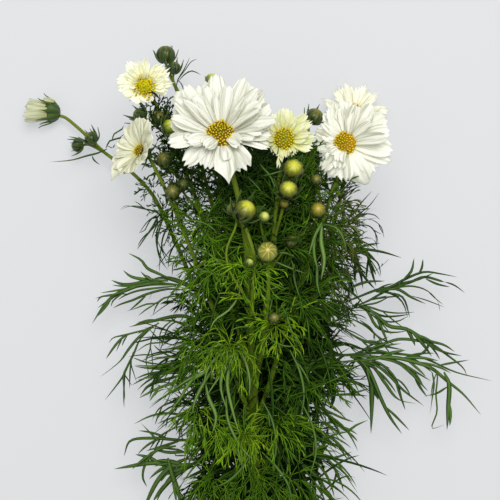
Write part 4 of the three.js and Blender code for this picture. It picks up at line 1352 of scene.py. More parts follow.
# The long leaves: how many leaflets a strand sprouts, how much wider its strands are than drawn, its heights
# at foot and tip, its tone, and its strands. A strand is a half width and the places it runs through.
sprayFields = ("sprouts", "wide", "heights", "tone", "strands")
sprays = {
    "leaf_right_high": (0.25, 1.1, (36, 26), 0.3, [
        (0.9, (338, 305), (358, 297), (376, 290), (390, 287), (405, 279), (424, 272), (441, 274), (457, 277)),
        (0.9, (402, 281), (411, 271), (414, 258)),
        (0.8, (418, 275), (422, 268), (423, 259)),
        (0.9, (352, 307), (366, 302), (390, 289), (411, 282), (424, 277), (441, 281), (454, 285), (465, 293)),
        (0.7, (426, 279), (437, 284), (450, 287)),
        (0.6, (372, 292), (389, 289), (411, 286), (426, 290), (437, 300), (440, 311)),
        (1.0, (380, 291), (397, 289), (411, 297), (426, 304)),
        (0.5, (412, 296), (426, 300), (444, 307)),
        (0.8, (376, 292), (390, 293), (402, 302), (408, 318)),
        (0.7, (385, 292), (402, 297), (410, 318)),
        (0.6, (363, 305), (376, 303), (389, 297)),
        (0.6, (352, 305), (366, 306), (382, 311), (398, 313), (415, 312)),
        (0.8, (355, 304), (366, 308), (382, 316), (398, 316), (410, 314)),
        (0.6, (360, 306), (373, 313), (385, 321), (398, 321), (408, 316)),
        (0.9, (345, 290), (366, 282), (385, 281)),
    ]),
    "leaf_right_long": (0.35, 1.15, (40, 26), 0.4, [
        (1.2, (290, 380), (301, 370), (326, 357), (350, 355), (376, 353), (398, 354), (423, 358), (455, 372),
         (492, 381)),
        (1.2, (340, 362), (363, 360), (390, 357), (415, 362), (431, 368), (447, 381), (463, 394), (481, 415)),
        (1.2, (350, 356), (376, 357), (398, 362), (418, 373), (431, 381)),
        (0.7, (440, 365), (450, 363), (469, 360)),
        (1.5, (444, 372), (449, 384), (448, 408), (447, 430)),
        (0.5, (430, 366), (437, 373), (436, 394), (437, 412), (432, 428), (444, 425)),
        (0.7, (432, 372), (434, 383), (432, 400), (430, 415)),
        (0.8, (447, 387), (436, 394), (424, 396)),
        (1.0, (350, 357), (376, 365), (390, 376), (402, 389), (424, 406)),
        (1.0, (352, 358), (372, 366), (385, 383), (398, 399), (418, 404)),
        (0.9, (360, 358), (379, 363), (395, 378), (402, 396)),
        (1.0, (380, 358), (398, 363), (415, 374), (424, 387)),
        (2.2, (352, 356), (364, 365), (371, 379), (372, 404), (371, 434)),
        (1.2, (360, 360), (369, 371), (381, 399), (390, 417), (402, 434)),
        (0.9, (345, 345), (366, 349), (382, 344), (398, 339), (415, 340), (431, 344), (447, 355), (463, 368),
         (467, 376)),
        (0.8, (428, 341), (427, 348), (418, 355), (405, 354)),
    ]),
    "leaf_middle_right": (0.5, 1.15, (50, 30), 0.34, [
        (0.9, (352, 306), (366, 310), (376, 326), (389, 332), (408, 331)),
        (1.2, (356, 303), (374, 313), (389, 326), (406, 329), (426, 340), (444, 345), (455, 352)),
        (0.8, (422, 338), (429, 345), (444, 352), (462, 356)),
        (0.7, (350, 318), (366, 326), (380, 338), (396, 345)),
        (0.8, (345, 330), (362, 340), (384, 346), (404, 350)),
        (0.5, (360, 320), (372, 330), (376, 345)),
    ]),
    "leaf_right_low": (0.6, 1.25, (40, 20), 0.42, [
        (1.2, (300, 358), (317, 362), (327, 368), (329, 383), (325, 397)),
        (0.9, (322, 360), (335, 363), (347, 378), (351, 389), (350, 407)),
        (0.8, (320, 425), (333, 422), (347, 430), (356, 425), (368, 420)),
        (0.9, (300, 420), (322, 432), (340, 445), (352, 462)),
        (0.8, (300, 440), (320, 452), (336, 470), (344, 492)),
        (0.7, (325, 396), (350, 394), (368, 396)),
        (0.7, (322, 408), (340, 417), (354, 422)),
        (0.8, (310, 455), (330, 458), (352, 452)),
        (0.9, (290, 455), (312, 472), (326, 490), (332, 505)),
    ]),
    "leaf_top_right": (0.6, 1.0, (50, 24), 0.2, [
        (0.45, (346, 222), (355, 211), (361, 203), (372, 191)),
        (0.5, (340, 232), (350, 222), (356, 216), (369, 206), (379, 193)),
        (0.4, (344, 224), (355, 217), (364, 214), (376, 208)),
        (0.4, (352, 218), (363, 214), (374, 215), (380, 220)),
        (0.45, (348, 226), (360, 220), (372, 220), (381, 227), (384, 238)),
        (0.45, (350, 230), (361, 225), (371, 227), (377, 237), (378, 245)),
        (0.4, (350, 240), (363, 238), (374, 240), (378, 250)),
        (0.4, (354, 240), (366, 243), (376, 250), (378, 256)),
        (1.0, (345, 250), (361, 249), (382, 252), (402, 258)),
        (0.6, (358, 252), (371, 258), (378, 264), (381, 276)),
        (0.7, (367, 276), (379, 268), (389, 259)),
        (1.1, (362, 248), (368, 256), (372, 272), (376, 286)),
        (1.4, (348, 240), (355, 256), (360, 272), (363, 289)),
        (0.5, (330, 215), (340, 200), (352, 190), (361, 186)),
        (0.45, (336, 210), (346, 203), (357, 200), (366, 203)),
    ]),
    "leaf_left_high": (0.25, 1.1, (36, 22), 0.42, [
        (1.5, (202, 292), (190, 286), (172, 279), (160, 278), (150, 280)),
        (1.0, (171, 279), (157, 273), (147, 268), (141, 260), (128, 253)),
        (1.3, (152, 280), (145, 275), (140, 271)),
        (1.1, (168, 281), (153, 280), (141, 279), (130, 276), (123, 270)),
        (1.3, (165, 283), (147, 281), (134, 284), (122, 284), (111, 280)),
        (0.7, (150, 284), (134, 286), (122, 286), (112, 285)),
        (0.7, (172, 285), (150, 285), (125, 289), (113, 291), (100, 293)),
        (0.7, (128, 290), (112, 295), (101, 297), (97, 302)),
        (1.3, (180, 285), (152, 283), (137, 286), (126, 290), (115, 295), (106, 303), (100, 311), (92, 324)),
        (0.6, (126, 291), (120, 295), (113, 301), (111, 307)),
        (0.8, (184, 290), (168, 289), (147, 294), (133, 300), (121, 304), (113, 308)),
        (0.7, (176, 286), (157, 288), (137, 291), (124, 296), (118, 300)),
        (0.7, (190, 296), (176, 296), (164, 298), (157, 303), (147, 304), (134, 309), (120, 313)),
        (0.5, (157, 303), (147, 309), (138, 316)),
        (0.5, (160, 301), (156, 307), (153, 315)),
        (0.6, (152, 292), (151, 295), (149, 300)),
    ]),
    "leaf_left_long": (0.35, 1.1, (40, 22), 0.4, [
        (1.3, (204, 322), (192, 318), (180, 316), (166, 318), (154, 321), (141, 324), (129, 327)),
        (0.7, (159, 323), (147, 329), (137, 332), (125, 335), (113, 338), (109, 343)),
        (0.8, (125, 335), (119, 341), (112, 350), (106, 359)),
        (0.5, (122, 339), (119, 345), (116, 352)),
        (0.5, (127, 336), (124, 341), (122, 346)),
        (1.0, (159, 323), (147, 330), (137, 339), (128, 350), (121, 360), (112, 368), (100, 377)),
        (0.8, (147, 330), (139, 341), (134, 353), (128, 365), (123, 376), (116, 386), (105, 400)),
        (0.7, (127, 366), (124, 374), (124, 384), (125, 400)),
        (0.5, (124, 374), (128, 379), (132, 386)),
        (0.5, (133, 352), (131, 363), (134, 374), (137, 383)),
        (0.5, (158, 322), (151, 341), (150, 350), (146, 360), (148, 370), (149, 383)),
        (0.5, (176, 318), (165, 326), (160, 334), (160, 350)),
        (0.5, (190, 324), (176, 322), (168, 328), (163, 342), (160, 352)),
        (0.5, (150, 330), (158, 338), (166, 343), (178, 346)),
        (0.5, (178, 336), (164, 342), (148, 344), (136, 352)),
        (0.5, (184, 345), (168, 352), (152, 356), (140, 362)),
        (0.5, (134, 358), (146, 362), (160, 364), (176, 366)),
        (1.0, (204, 368), (187, 369), (166, 369), (147, 368), (134, 366)),
        (0.8, (192, 370), (166, 371), (147, 374), (135, 379)),
        (1.1, (184, 374), (171, 378), (157, 382), (147, 387), (140, 396)),
    ]),
    "leaf_middle_left": (0.6, 1.25, (60, 34), 0.26, [
        (0.45, (172, 212), (159, 222), (148, 234), (137, 249)),
        (0.45, (160, 213), (148, 221), (139, 233)),
        (0.45, (166, 214), (161, 224), (157, 243), (160, 259), (168, 270)),
        (0.45, (176, 218), (166, 230), (162, 248), (173, 263)),
        (0.5, (190, 232), (178, 240), (170, 254), (168, 268)),
        (0.45, (196, 246), (184, 250), (174, 262), (172, 276)),
        (0.4, (150, 212), (142, 207), (130, 206), (120, 210)),
        (0.4, (178, 196), (170, 204), (166, 216), (168, 226)),
    ]),
    "leaf_left_low": (0.6, 1.25, (36, 18), 0.4, [
        (0.7, (204, 414), (187, 415), (166, 413), (150, 416), (134, 424)),
        (0.7, (160, 442), (151, 434), (141, 423)),
        (0.9, (198, 440), (180, 440), (151, 438), (130, 441), (124, 456)),
        (0.9, (190, 452), (169, 452), (155, 450), (146, 458)),
        (1.5, (192, 464), (173, 465), (155, 462), (134, 465), (114, 469)),
        (1.1, (176, 446), (157, 450), (146, 463), (143, 477), (147, 487)),
        (1.8, (188, 458), (173, 465), (159, 479), (148, 500), (144, 512)),
        (1.8, (196, 462), (176, 474), (162, 491), (155, 506)),
        (1.5, (168, 458), (172, 474), (178, 491), (181, 508)),
        (0.6, (188, 424), (170, 430), (156, 440), (148, 452)),
        (0.6, (190, 404), (174, 402), (160, 408), (152, 420)),
    ]),
    "leaf_bottom_left": (1.0, 1.25, (24, 10), 0.36, [
        (1.4, (240, 500), (222, 516), (206, 534), (196, 560)),
        (1.2, (236, 505), (214, 520), (192, 530), (170, 546)),
        (1.0, (232, 510), (222, 535), (218, 560), (220, 585)),
        (1.1, (226, 515), (206, 530), (184, 540), (166, 542)),
        (0.9, (224, 520), (204, 545), (194, 570)),
        (0.9, (228, 500), (208, 505), (186, 516), (172, 528)),
    ]),
    "leaf_bottom_right": (1.0, 1.25, (24, 10), 0.36, [
        (1.4, (272, 500), (290, 516), (306, 534), (318, 560)),
        (1.2, (276, 505), (298, 518), (320, 528), (338, 544)),
        (1.0, (274, 510), (284, 535), (288, 560), (286, 585)),
        (1.1, (282, 515), (302, 528), (324, 536), (340, 534)),
        (0.9, (284, 520), (302, 545), (312, 570)),
        (0.9, (280, 500), (300, 504), (322, 512), (338, 524)),
    ]),
    "leaf_front": (0.3, 1.25, (92, 100), 0.6, [
        (1.0, (236, 352), (228, 360), (222, 374), (221, 390), (228, 413)),
        (1.1, (238, 352), (230, 366), (227, 382), (232, 409), (240, 436)),
        (0.8, (226, 396), (228, 420), (241, 447), (252, 459)),
        (0.9, (232, 350), (218, 356), (208, 368), (203, 386)),
        (1.0, (214, 362), (205, 372), (191, 381), (180, 399), (166, 416)),
        (1.0, (212, 370), (205, 381), (196, 398), (192, 413)),
        (1.1, (206, 384), (209, 398), (216, 416), (212, 434)),
        (0.9, (240, 350), (246, 362), (250, 380), (249, 398)),
        (0.7, (240, 284), (239, 295), (229, 310), (215, 320), (210, 330)),
        (0.7, (228, 352), (222, 344), (214, 346), (206, 356)),
    ]),
}

# Loose strands in front of the stems and buds. Here a strand is a tone, a half width and its places.
frontStrands = {"sprouts": 0.3, "heights": (96, 104), "strands": [
    (0.58, 1.5, (322, 222), (320, 225), (314, 237), (308, 257)),
    (0.56, 1.6, (322, 222), (321, 242), (324, 260), (321, 280)),
    (0.48, 1.3, (318, 226), (314, 245), (315, 259), (318, 270)),
    (0.46, 1.1, (316, 262), (317, 271), (317, 284), (321, 298)),
    (0.46, 0.9, (324, 224), (336, 228), (343, 238), (347, 252)),
    (0.44, 0.6, (186, 220), (198, 221), (210, 226), (217, 233)),
    (0.5, 0.8, (193, 248), (206, 252), (217, 261), (229, 271)),
    (0.46, 0.8, (197, 268), (208, 272), (220, 275), (234, 279)),
    (0.6, 0.6, (250, 284), (259, 291), (263, 298), (268, 301)),
    (0.56, 0.5, (262, 288), (270, 289), (277, 287), (281, 282)),
    (0.46, 0.7, (270, 254), (275, 253), (286, 253), (295, 257), (297, 261)),
    (0.5, 0.7, (270, 260), (276, 262), (290, 268), (307, 274)),
    (0.44, 0.8, (290, 258), (293, 265), (294, 279), (298, 293), (303, 310)),
    (0.46, 0.8, (260, 164), (262, 167), (270, 176), (275, 188), (277, 197)),
    (0.46, 0.6, (262, 176), (269, 175), (282, 171), (290, 170)),
    (0.44, 0.4, (247, 176), (258, 188), (263, 194)),
    (0.44, 0.7, (278, 316), (290, 308), (309, 298)),
    (0.5, 0.9, (282, 306), (286, 314), (291, 330), (300, 346)),
    (0.46, 0.9, (274, 292), (272, 299), (270, 311)),
    (0.52, 0.5, (231, 330), (240, 327), (258, 327)),
    (0.46, 0.8, (262, 330), (272, 340), (286, 346), (300, 345)),
    (0.44, 0.9, (290, 350), (300, 372), (304, 396), (300, 420)),
    (0.39, 0.9, (262, 400), (272, 420), (276, 446), (272, 470)),
    (0.44, 0.9, (300, 400), (312, 425), (316, 450), (310, 476)),
    (0.44, 1.0, (250, 455), (240, 470), (226, 482), (212, 488)),
    (0.44, 0.9, (262, 452), (276, 466), (288, 484), (292, 502)),
]}
# thin leaves by the upper buds, and by the half-open bloom and the left edge
wiryLeaves = {"sprouts": 0.0, "heights": (52, 60), "strands": [
    (0.2, 0.4, (176, 88), (178, 80), (184, 70), (190, 57)),
    (0.2, 0.4, (180, 77), (186, 69), (191, 62), (197, 59)),
    (0.2, 0.5, (178, 82), (184, 75), (192, 71), (201, 75)),
    (0.2, 0.35, (178, 80), (182, 85), (184, 93)),
    (0.15, 0.4, (177, 118), (167, 110), (169, 100), (176, 96)),
]}
lowWiryLeaves = {"sprouts": 0.0, "heights": (16, 22), "strands": [
    (0.28, 0.66, (107, 149), (98, 153), (86, 156), (72, 160), (50, 162)),
    (0.28, 0.54, (92, 156), (94, 160), (100, 165)),
    (0.28, 0.6, (106, 148), (110, 141), (120, 138), (124, 134)),
    (0.28, 0.6, (112, 141), (114, 134), (122, 129), (125, 122)),
    (0.28, 0.54, (118, 139), (123, 139), (125, 143)),
    (0.28, 0.54, (108, 146), (113, 148), (115, 144)),
    (0.26, 0.6, (170, 226), (158, 213), (140, 208), (125, 206), (120, 210)),
    (0.26, 0.6, (166, 222), (160, 215), (153, 226), (145, 238), (137, 250)),
    (0.26, 0.5, (158, 218), (151, 219), (145, 230), (139, 233)),
    (0.26, 0.6, (166, 216), (158, 228), (157, 246), (165, 266)),
]}
# paler strands over the lower left leaf
lowPaleLeaves = {"sprouts": 0.25, "heights": (54, 44), "strands": [
    (0.54, 1.3, (206, 358), (190, 362), (170, 366), (150, 366), (134, 365)),
    (0.5, 1.0, (204, 366), (186, 372), (165, 373), (150, 377), (138, 380)),
    (0.52, 1.2, (206, 372), (190, 378), (172, 383), (158, 388), (146, 394), (139, 398)),
    (0.46, 0.9, (210, 352), (196, 352), (178, 356), (160, 358), (146, 362)),
    (0.5, 1.0, (214, 362), (206, 376), (200, 392), (198, 408)),
    (0.46, 0.9, (212, 370), (210, 390), (212, 408), (218, 424)),
    (0.44, 0.9, (208, 340), (192, 342), (174, 348), (158, 350)),
    (0.48, 1.0, (204, 376), (194, 388), (184, 396), (176, 408)),
]}


def laySpray(skeleton, seed, spray):
    rng = np.random.default_rng(seed)
    for strand in spray["strands"]:
        tone, width, *places = (spray["tone"], *strand) if "tone" in spray else strand
        width *= spray.get("wide", 1.0)
        layStrand(skeleton, rng, width, spray["heights"], places, tone, spray["sprouts"])


for number, (node, row) in enumerate(sprays.items()):
    skeleton = Skeleton()
    laySpray(skeleton, seeds["longLeaves"] + number, named(sprayFields, row))
    placePiece(skeleton.piece(camelName(node), trees["ribbon"], ribbonLook("matureLeaf")), "leaf", node)
print("long leaves made:", len(sprays))

# The mat of leaves under everything, whose dark tone is painted shade for the depth of the foliage: its left
# and right edges down the sheet.
shadeMatEdges = np.array([
    (150, 226, 312), (190, 222, 314), (230, 214, 316), (260, 206, 320), (300, 206, 324), (330, 208, 332),
    (360, 206, 340), (400, 202, 336), (440, 202, 328), (500, 200, 320), (560, 210, 304), (600, 228, 288),
], float)
shadeMatShape = {
    "leaves": 2300, "heights": (2.0, 26.0), "length": (20.0, 40.0), "width": (0.9, 1.9), "heart": (265, 300),
    "spread": (70, 260), "middle": 262, "half": 60, "tone": 0.02, "edgeTone": 0.16, "toneRange": (-0.1, 0.15),
}


def growShadeMat(skeleton, rng):
    heart, spread = shadeMatShape["heart"], shadeMatShape["spread"]
    for _ in range(shadeMatShape["leaves"]):
        down = rng.uniform(shadeMatEdges[0, 0], shadeMatEdges[-1, 0])
        across = blendOf(*edgesAt(shadeMatEdges, down), rng.uniform())
        z = rng.uniform(*shadeMatShape["heights"])
        middle = np.array(onSheet(across, down, z))
        aside, ahead = (across - heart[0]) / spread[0], (down - heart[1]) / spread[1]
        outward = np.array([aside, 0.3 * rng.uniform(-1, 1) - ahead, 0])
        heading = unit(outward + rng.normal(0, 0.7, 3) * (1, 1, 0.25))
        length = rng.uniform(*shadeMatShape["length"])
        start = middle - heading * length / 2
        start[2] = z
        line = bentLine(start, heading, length, rng.normal(0, 0.5, 3), 6)
        facing = unit((0, 0, 1) + rng.normal(0, 0.35, 3))
        widths = ribbonWidths(len(line), rng.uniform(*shadeMatShape["width"]))
        if pastEdge(line[0]) or pastEdge(line[-1]):
            continue
        # painted shade: the mat is darkest in the middle and lighter towards its sides
        edge = abs(across - shadeMatShape["middle"]) / shadeMatShape["half"]
        tone = shadeMatShape["tone"] + shadeMatShape["edgeTone"] * edge ** 2 + rng.uniform(*shadeMatShape["toneRange"])
        skeleton.line(pressed(line), widths, tone, facing)


# The foliage up each stem: the leafy stretch as shares of the stem's length, the step between leaf pairs,
# the length of a leaf at the lower and the upper end of the stretch, and the tone.
stretchFields = ("from", "to", "every", "length", "tone")
leafyStems = {
    "main_stem": (0.16, 0.62, 4.7, (68, 56), 0.2),
    "branch_right_front": (0.1, 0.7, 5.2, (56, 34), 0.29),
    "branch_right": (0.1, 0.82, 6.0, (60, 26), 0.21),
    "branch_right_back": (0.08, 0.74, 6.4, (56, 22), 0.28),
    "branch_left_back": (0.08, 0.46, 6.2, (58, 22), 0.3),
    "branch_left": (0.1, 0.8, 5.8, (56, 18), 0.33),
    "branch_top_left": (0.1, 0.8, 6.0, (50, 14), 0.31),
    "branch_top": (0.08, 0.72, 6.4, (54, 16), 0.27),
    "branch_front": (0.1, 0.6, 12.0, (28, 20), 0.5),
    "branch_front_low": (0.1, 0.7, 12.0, (32, 20), 0.5),
}
# where the stems show between the leaves: the middle of that gap and its half sizes
stemGap = {"middle": (2, -44), "half": (16, 36), "shorter": 0.3}
stemLeaf = {"every": 8.2, "reach": 0.68, "forkEvery": 13.0}
tuftLeaf = {"every": 8.0, "reach": 0.5, "forkEvery": 9.0}
foliageShape = {
    "opening": (30, 75), "length": (0.6, 1.1), "width": (0.42, 0.86), "droop": (0.4, 1.8), "step": (0.8, 1.2),
    "upward": 0.4, "upwardLength": 0.85, "depth": (20, 100), "depthReach": 30, "paintedDepthShade": (-0.21, 0.3),
}


def growFoliage(skeletons, rng):
    darkest, lighter = foliageShape["paintedDepthShade"]
    for node, row in leafyStems.items():
        plan, line = named(stretchFields, row), stemLines[node]
        run = np.concatenate([[0], np.cumsum(np.linalg.norm(np.diff(line, axis=0), axis=1))])
        place, turn = plan["from"] * run[-1], rng.uniform(0, math.pi)
        while place < plan["to"] * run[-1]:
            share = (place / run[-1] - plan["from"]) / (plan["to"] - plan["from"])
            at, ahead = (
                np.array([np.interp(place + step, run, line[:, a]) for a in range(3)]) for step in (0, 3)
            )
            axis = unit(ahead - at)
            sideways = unit(np.cross(axis, (0, 0, 1)))
            above = np.cross(sideways, axis)
            gap = np.hypot(*((at[:2] - stemGap["middle"]) / np.array(stemGap["half"])))
            for hand in (0, math.pi):
                angle = turn + hand + rng.normal(0, 0.4)
                outward = sideways * math.cos(angle) + above * math.sin(angle)
                opening = math.radians(rng.uniform(*foliageShape["opening"]))
                heading = axis * math.cos(opening) + outward * math.sin(opening)
                length = blendOf(*plan["length"], share) * rng.uniform(*foliageShape["length"])
                if outward[2] > foliageShape["upward"]:
                    length *= stemGap["shorter"] if gap < 1 else foliageShape["upwardLength"]
                length = heldIn(at, heading, length)
                # painted shade: leaves low in the foliage get a darker tone, leaves higher up a lighter one
                outOfShade = smoothStep(at[2] + outward[2] * foliageShape["depthReach"], *foliageShape["depth"])
                growLeaf(skeletons[rng.integers(len(skeletons))], rng, at, heading, {
                    "length": length,
                    "width": rng.uniform(*foliageShape["width"]),
                    "tone": plan["tone"] + darkest + lighter * outOfShade + rng.normal(0, 0.085),
                    "droop": rng.uniform(*foliageShape["droop"]),
                    **stemLeaf,
                })
            turn += math.pi / 2
            place += plan["every"] * rng.uniform(*foliageShape["step"])


# Tufts of young leaves, bright ones at shoot tips and dark ones that fill the shade behind the blooms, their
# dark tone painted shade.
tuftFields = ("at", "heading", "count", "length", "tone", "droop")
youngTufts = [
    ((-12, -64, 86), (-0.1, 0.2, 1), 26, 22, 0.72, 2.0),
    ((16, -48, 92), (0.1, 0.2, 1), 22, 20, 0.72, 1.0),
    ((3, -14, 106), (0, 0.1, 1), 15, 21, 0.64, 0.6),
    ((-11, -10, 102), (-0.3, 0.1, 1), 11, 21, 0.6, 0.6),
    ((-26, -8, 84), (-0.4, 0.1, 1), 18, 26, 0.52, 0.8),
    ((-30, 14, 84), (-0.3, 0.2, 1), 14, 24, 0.48, 0.9),
    ((-4, -118, 84), (0, 0, 1), 26, 26, 0.7, 1.4),
    ((18, -112, 84), (0.3, -0.1, 1), 18, 28, 0.56, 1.5),
    ((35, 50, 76), (0, 0.5, 0.8), 26, 15, 0.5, -0.2),
    ((42, 44, 68), (0.3, 0.4, 0.6), 16, 15, 0.42, -0.1),
    ((34, 30, 84), (0.3, 0.2, 1), 18, 26, 0.34, 0.7),
    ((-36, -62, 76), (-0.6, -0.1, 1), 16, 36, 0.48, 1.3),
    ((30, -30, 84), (0.4, 0.1, 1), 16, 30, 0.34, 1.0),
    ((34, -88, 78), (0.5, -0.1, 1), 16, 30, 0.3, 1.4),
    ((-34, -104, 74), (-0.5, -0.2, 1), 18, 38, 0.54, 1.5),
    ((2, -146, 72), (0, -0.3, 1), 20, 40, 0.48, 1.5),
    ((26, -150, 66), (0.4, -0.3, 1), 16, 40, 0.45, 1.5),
    ((-24, -150, 62), (-0.4, -0.4, 1), 16, 42, 0.5, 1.4),
    ((44, 6, 70), (0.5, 0.2, 0.7), 12, 24, 0.24, 1.0),
    ((52, 36, 62), (0.6, 0.5, 0.6), 10, 22, 0.26, 0.4),
    ((-38, 28, 72), (-0.4, 0.3, 0.8), 12, 20, 0.26, 0.6),
    ((-52, 60, 62), (-0.2, 0.4, 0.9), 12, 18, 0.26, 0.2),
    ((-4, 44, 84), (0.1, 0.4, 0.9), 16, 26, 0.26, 0.2),
    ((14, 44, 72), (0.1, 0.5, 0.8), 18, 28, 0.22, 0.1),
    ((30, 44, 70), (0.2, 0.4, 0.8), 18, 28, 0.22, 0.1),
    ((8, 24, 78), (0, 0.2, 1), 18, 28, 0.28, 0.6),
    ((24, 8, 78), (0.2, 0.1, 1), 18, 28, 0.28, 0.8),
    ((-18, 30, 76), (-0.1, 0.2, 1), 14, 26, 0.26, 0.5),
    ((-56, 84, 56), (0, 0.6, 0.8), 14, 15, 0.2, -0.3),
    ((-50, 68, 66), (0, 0.6, 0.8), 16, 16, 0.24, -0.2),
    ((-42, 56, 68), (0.1, 0.5, 0.8), 16, 16, 0.26, -0.1),
    ((-50, 48, 60), (-0.1, 0.3, 0.9), 12, 16, 0.2, 0.2),
    ((-59, 82, 60), (-0.1, 0.4, 0.9), 14, 14, 0.14, -0.2),
    ((-54, 71, 64), (0.1, 0.4, 0.9), 14, 14, 0.16, -0.1),
    ((-46, 65, 68), (0.1, 0.3, 0.9), 14, 15, 0.16, 0),
    ((-61, 94, 58), (-0.1, 0.4, 0.9), 12, 12, 0.16, -0.2),
    ((-63, 40, 66), (-0.5, 0.3, 0.8), 12, 16, 0.22, 0.2),
    ((-56, 26, 66), (-0.5, 0.2, 0.8), 12, 18, 0.24, 0.5),
    ((-50, 12, 68), (-0.5, 0.1, 0.8), 12, 20, 0.26, 0.6),
    ((36, 61, 84), (0.3, 0.5, 0.8), 16, 12, 0.38, 0),
    ((10, 62, 64), (0, 0.6, 0.7), 18, 17, 0.2, 0),
    ((-60, 54, 50), (-0.1, 0.2, 0.9), 14, 17, 0.3, 0.5, {"wide": 1.5}),
    ((-47, 58, 52), (0, 0.3, 0.9), 14, 17, 0.28, 0.4, {"wide": 1.5}),
    ((-36, 54, 54), (0.1, 0.2, 0.9), 14, 17, 0.26, 0.4, {"wide": 1.5}),
    ((-26, 50, 60), (0.1, 0.2, 0.9), 14, 17, 0.26, 0.4, {"wide": 1.3}),
]
# tufts of dry, olive leaves at the right edge
dryTufts = [
    ((58, 30, 60), (0.6, 0.4, 0.6), 14, 20, 0.4, 0.4),
    ((60, 16, 58), (0.6, 0.3, 0.6), 14, 21, 0.42, 0.6),
    ((58, 0, 58), (0.6, 0.1, 0.6), 14, 22, 0.38, 0.8),
    ((48, 14, 78), (0.3, -0.1, 0.8), 12, 24, 0.44, 1.4),
    ((50, -14, 70), (0.3, -0.3, 0.8), 12, 26, 0.4, 1.4),
    ((56, -30, 56), (0.5, -0.3, 0.6), 12, 22, 0.34, 1.2),
]


tuftShape = {
    "opening": (20, 88), "turn": (-0.3, 0.3), "heart": (0, 5), "length": (0.6, 1.15), "width": (0.34, 0.6),
    "droop": (0.5, 1.5),
}


def growTuft(skeleton, rng, row):
    tuft = named(tuftFields, row)
    axes = facingAxes(tuft["heading"])
    for k in range(tuft["count"]):
        turn = k * goldenAngle + rng.uniform(*tuftShape["turn"])
        opening = math.radians(blendOf(*tuftShape["opening"], (k + 0.5) / tuft["count"]))
        aside = math.sin(opening)
        local = np.array([math.cos(turn) * aside, math.sin(turn) * aside, math.cos(opening)])
        start = np.asarray(tuft["at"], float) + axes @ (local * rng.uniform(*tuftShape["heart"]))
        growLeaf(skeleton, rng, start, axes @ local, {
            "length": heldIn(start, axes @ local, tuft["length"] * rng.uniform(*tuftShape["length"])),
            "width": rng.uniform(*tuftShape["width"]) * tuft.get("wide", 1.0),
            "tone": tuft["tone"] + rng.normal(0, 0.06),
            "droop": tuft["droop"] * rng.uniform(*tuftShape["droop"]),
            **tuftLeaf,
        })


# Longer strands that drape over the top of the foliage, outward and down. None starts in the gap where the
# stems show, or at the sides of the upper part.
drapeShape = {
    "count": 280, "down": (225, 545), "length": (18.0, 50.0), "width": (0.4, 0.95), "tone": (0.16, 0.46),
    "gap": {"middle": 258, "half": 18, "down": (262, 345)}, "upper": {"down": 330, "half": 60},
    "middle": 262, "half": 90, "top": (90, 44), "points": 9,
}


def growDrape(skeleton, rng):
    gap, upper = drapeShape["gap"], drapeShape["upper"]
    for _ in range(drapeShape["count"]):
        down = rng.uniform(*drapeShape["down"])
        across = blendOf(*edgesAt(shadeMatEdges, down), rng.uniform(0.0, 1.0))
        fromGap = abs(across - gap["middle"])
        inGap = fromGap < gap["half"] and gap["down"][0] < down < gap["down"][1]
        if inGap or down < upper["down"] and fromGap > upper["half"]:
            continue
        aside = (across - drapeShape["middle"]) / drapeShape["half"]
        top = blendOf(*drapeShape["top"], min(aside ** 2, 1)) * (1 - 0.5 * smoothStep(down, 400, 600))
        start = np.array(onSheet(across, down, top + rng.uniform(-14, 8)))
        heading = unit((aside * 1.6 + rng.normal(0, 0.4), rng.normal(-0.5, 0.4), rng.uniform(-0.1, 0.4)))
        pull = np.array([aside * 0.3, -rng.uniform(0.2, 1.6), -0.5]) + rng.normal(0, 0.3, 3)
        line = bentLine(start, heading, rng.uniform(*drapeShape["length"]), pull, drapeShape["points"])
        facing = unit((0, 0.2, 1) + rng.normal(0, 0.35, 3))
        widths = ribbonWidths(len(line), rng.uniform(*drapeShape["width"]), 0.45, 3.0)
        skeleton.line(pressed(line), widths, rng.uniform(*drapeShape["tone"]), facing)


foliage = [Skeleton() for _ in range(9)]
upStems, inTufts, (overUnder, laid, dry) = foliage[:4], foliage[4:6], foliage[6:]
rng = np.random.default_rng(seeds["foliage"])
growFoliage(upStems, rng)
for number, tuft in enumerate(youngTufts):
    growTuft(inTufts[number % 2], rng, tuft)
growShadeMat(overUnder, rng)
growDrape(overUnder, rng)
for number, spray in enumerate((frontStrands, wiryLeaves, lowWiryLeaves, lowPaleLeaves)):
    laySpray(laid, seeds["strands"] + number, spray)
for tuft in dryTufts:
    growTuft(dry, rng, tuft)
foliagePaints = ["featheryLeaf"] * 7 + ["matureLeaf", "dryLeaf"]
for number, (skeleton, paint) in enumerate(zip(foliage, foliagePaints)):
    piece = skeleton.piece(f"foliage{number + 1}", trees["ribbon"], ribbonLook(paint))
    placePiece(piece, "leaf")
    print("foliage", number + 1, "faces", len(piece.data.polygons))


# floor, lights and camera
floorLook = {
    "size": 16.0, "drop": 0.0003, "colour": tint(144, 144, 144), "roughness": 0.9,
    "glow": tint(248, 251, 255), "strength": 0.46,
}


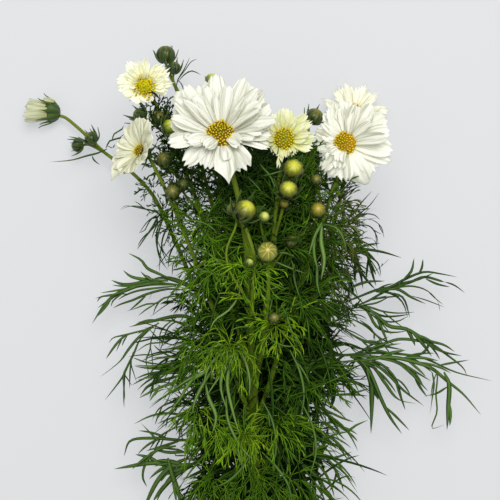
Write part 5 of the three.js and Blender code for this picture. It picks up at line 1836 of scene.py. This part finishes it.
def makeStage():
    bpy.ops.mesh.primitive_plane_add(size=floorLook["size"], location=(0, 0, -floorLook["drop"]))
    floor = bpy.context.object
    floor.name = "paleFloor"
    material, graph = newPaint("paleSurface")
    skin = graph.add("ShaderNodeBsdfPrincipled", {}, {
        "Base Color": floorLook["colour"],
        "Roughness": floorLook["roughness"],
        "Emission Color": floorLook["glow"],
        "Emission Strength": floorLook["strength"],
    })
    graph.add("ShaderNodeOutputMaterial", {}, (skin,))
    floor.data.materials.append(material)


roomLook = {"colour": (0.99, 1.0, 0.99, 1), "strength": 0.46}
lights = {
    "keySoft": {"place": (0.12, 0.6, 1.45), "size": 0.9, "power": 17.0, "colour": (1.0, 1.0, 0.985)},
    "fillSoft": {"place": (-0.3, 0.0, 1.5), "size": 1.2, "power": 2.5, "colour": (0.95, 0.98, 1.0)},
}
lightsTarget = Vector((0, 0.05, 0.05))


def makeLights():
    world = bpy.data.worlds.new("softRoom")
    bpy.context.scene.world = world
    world.use_nodes = True
    background = world.node_tree.nodes["Background"]
    background.inputs[0].default_value = roomLook["colour"]
    background.inputs[1].default_value = roomLook["strength"]
    for name, spec in lights.items():
        data = bpy.data.lights.new(name, "AREA")
        data.shape = "DISK"
        data.size = spec["size"]
        data.energy = spec["power"]
        data.color = spec["colour"]
        lamp = addObject(name, data)
        lamp.location = spec["place"]
        lamp.rotation_euler = (lightsTarget - lamp.location).to_track_quat("-Z", "Y").to_euler()


cameraView = {"height": 1.0, "subjectHeight": 0.07, "width": 0.325, "sensor": 36.0}


def makeCamera():
    data = bpy.data.cameras.new("mainCamera")
    data.sensor_width = cameraView["sensor"]
    distance = cameraView["height"] - cameraView["subjectHeight"]
    data.lens = cameraView["sensor"] * distance / cameraView["width"]
    camera = addObject("mainCamera", data)
    camera.location = Vector(planShift * mm) + Vector((0, 0, cameraView["height"]))
    bpy.context.scene.camera = camera
    bpy.context.scene.view_settings.view_transform = "Standard"


makeStage()
makeLights()
makeCamera()
print("stage, lights and camera made")
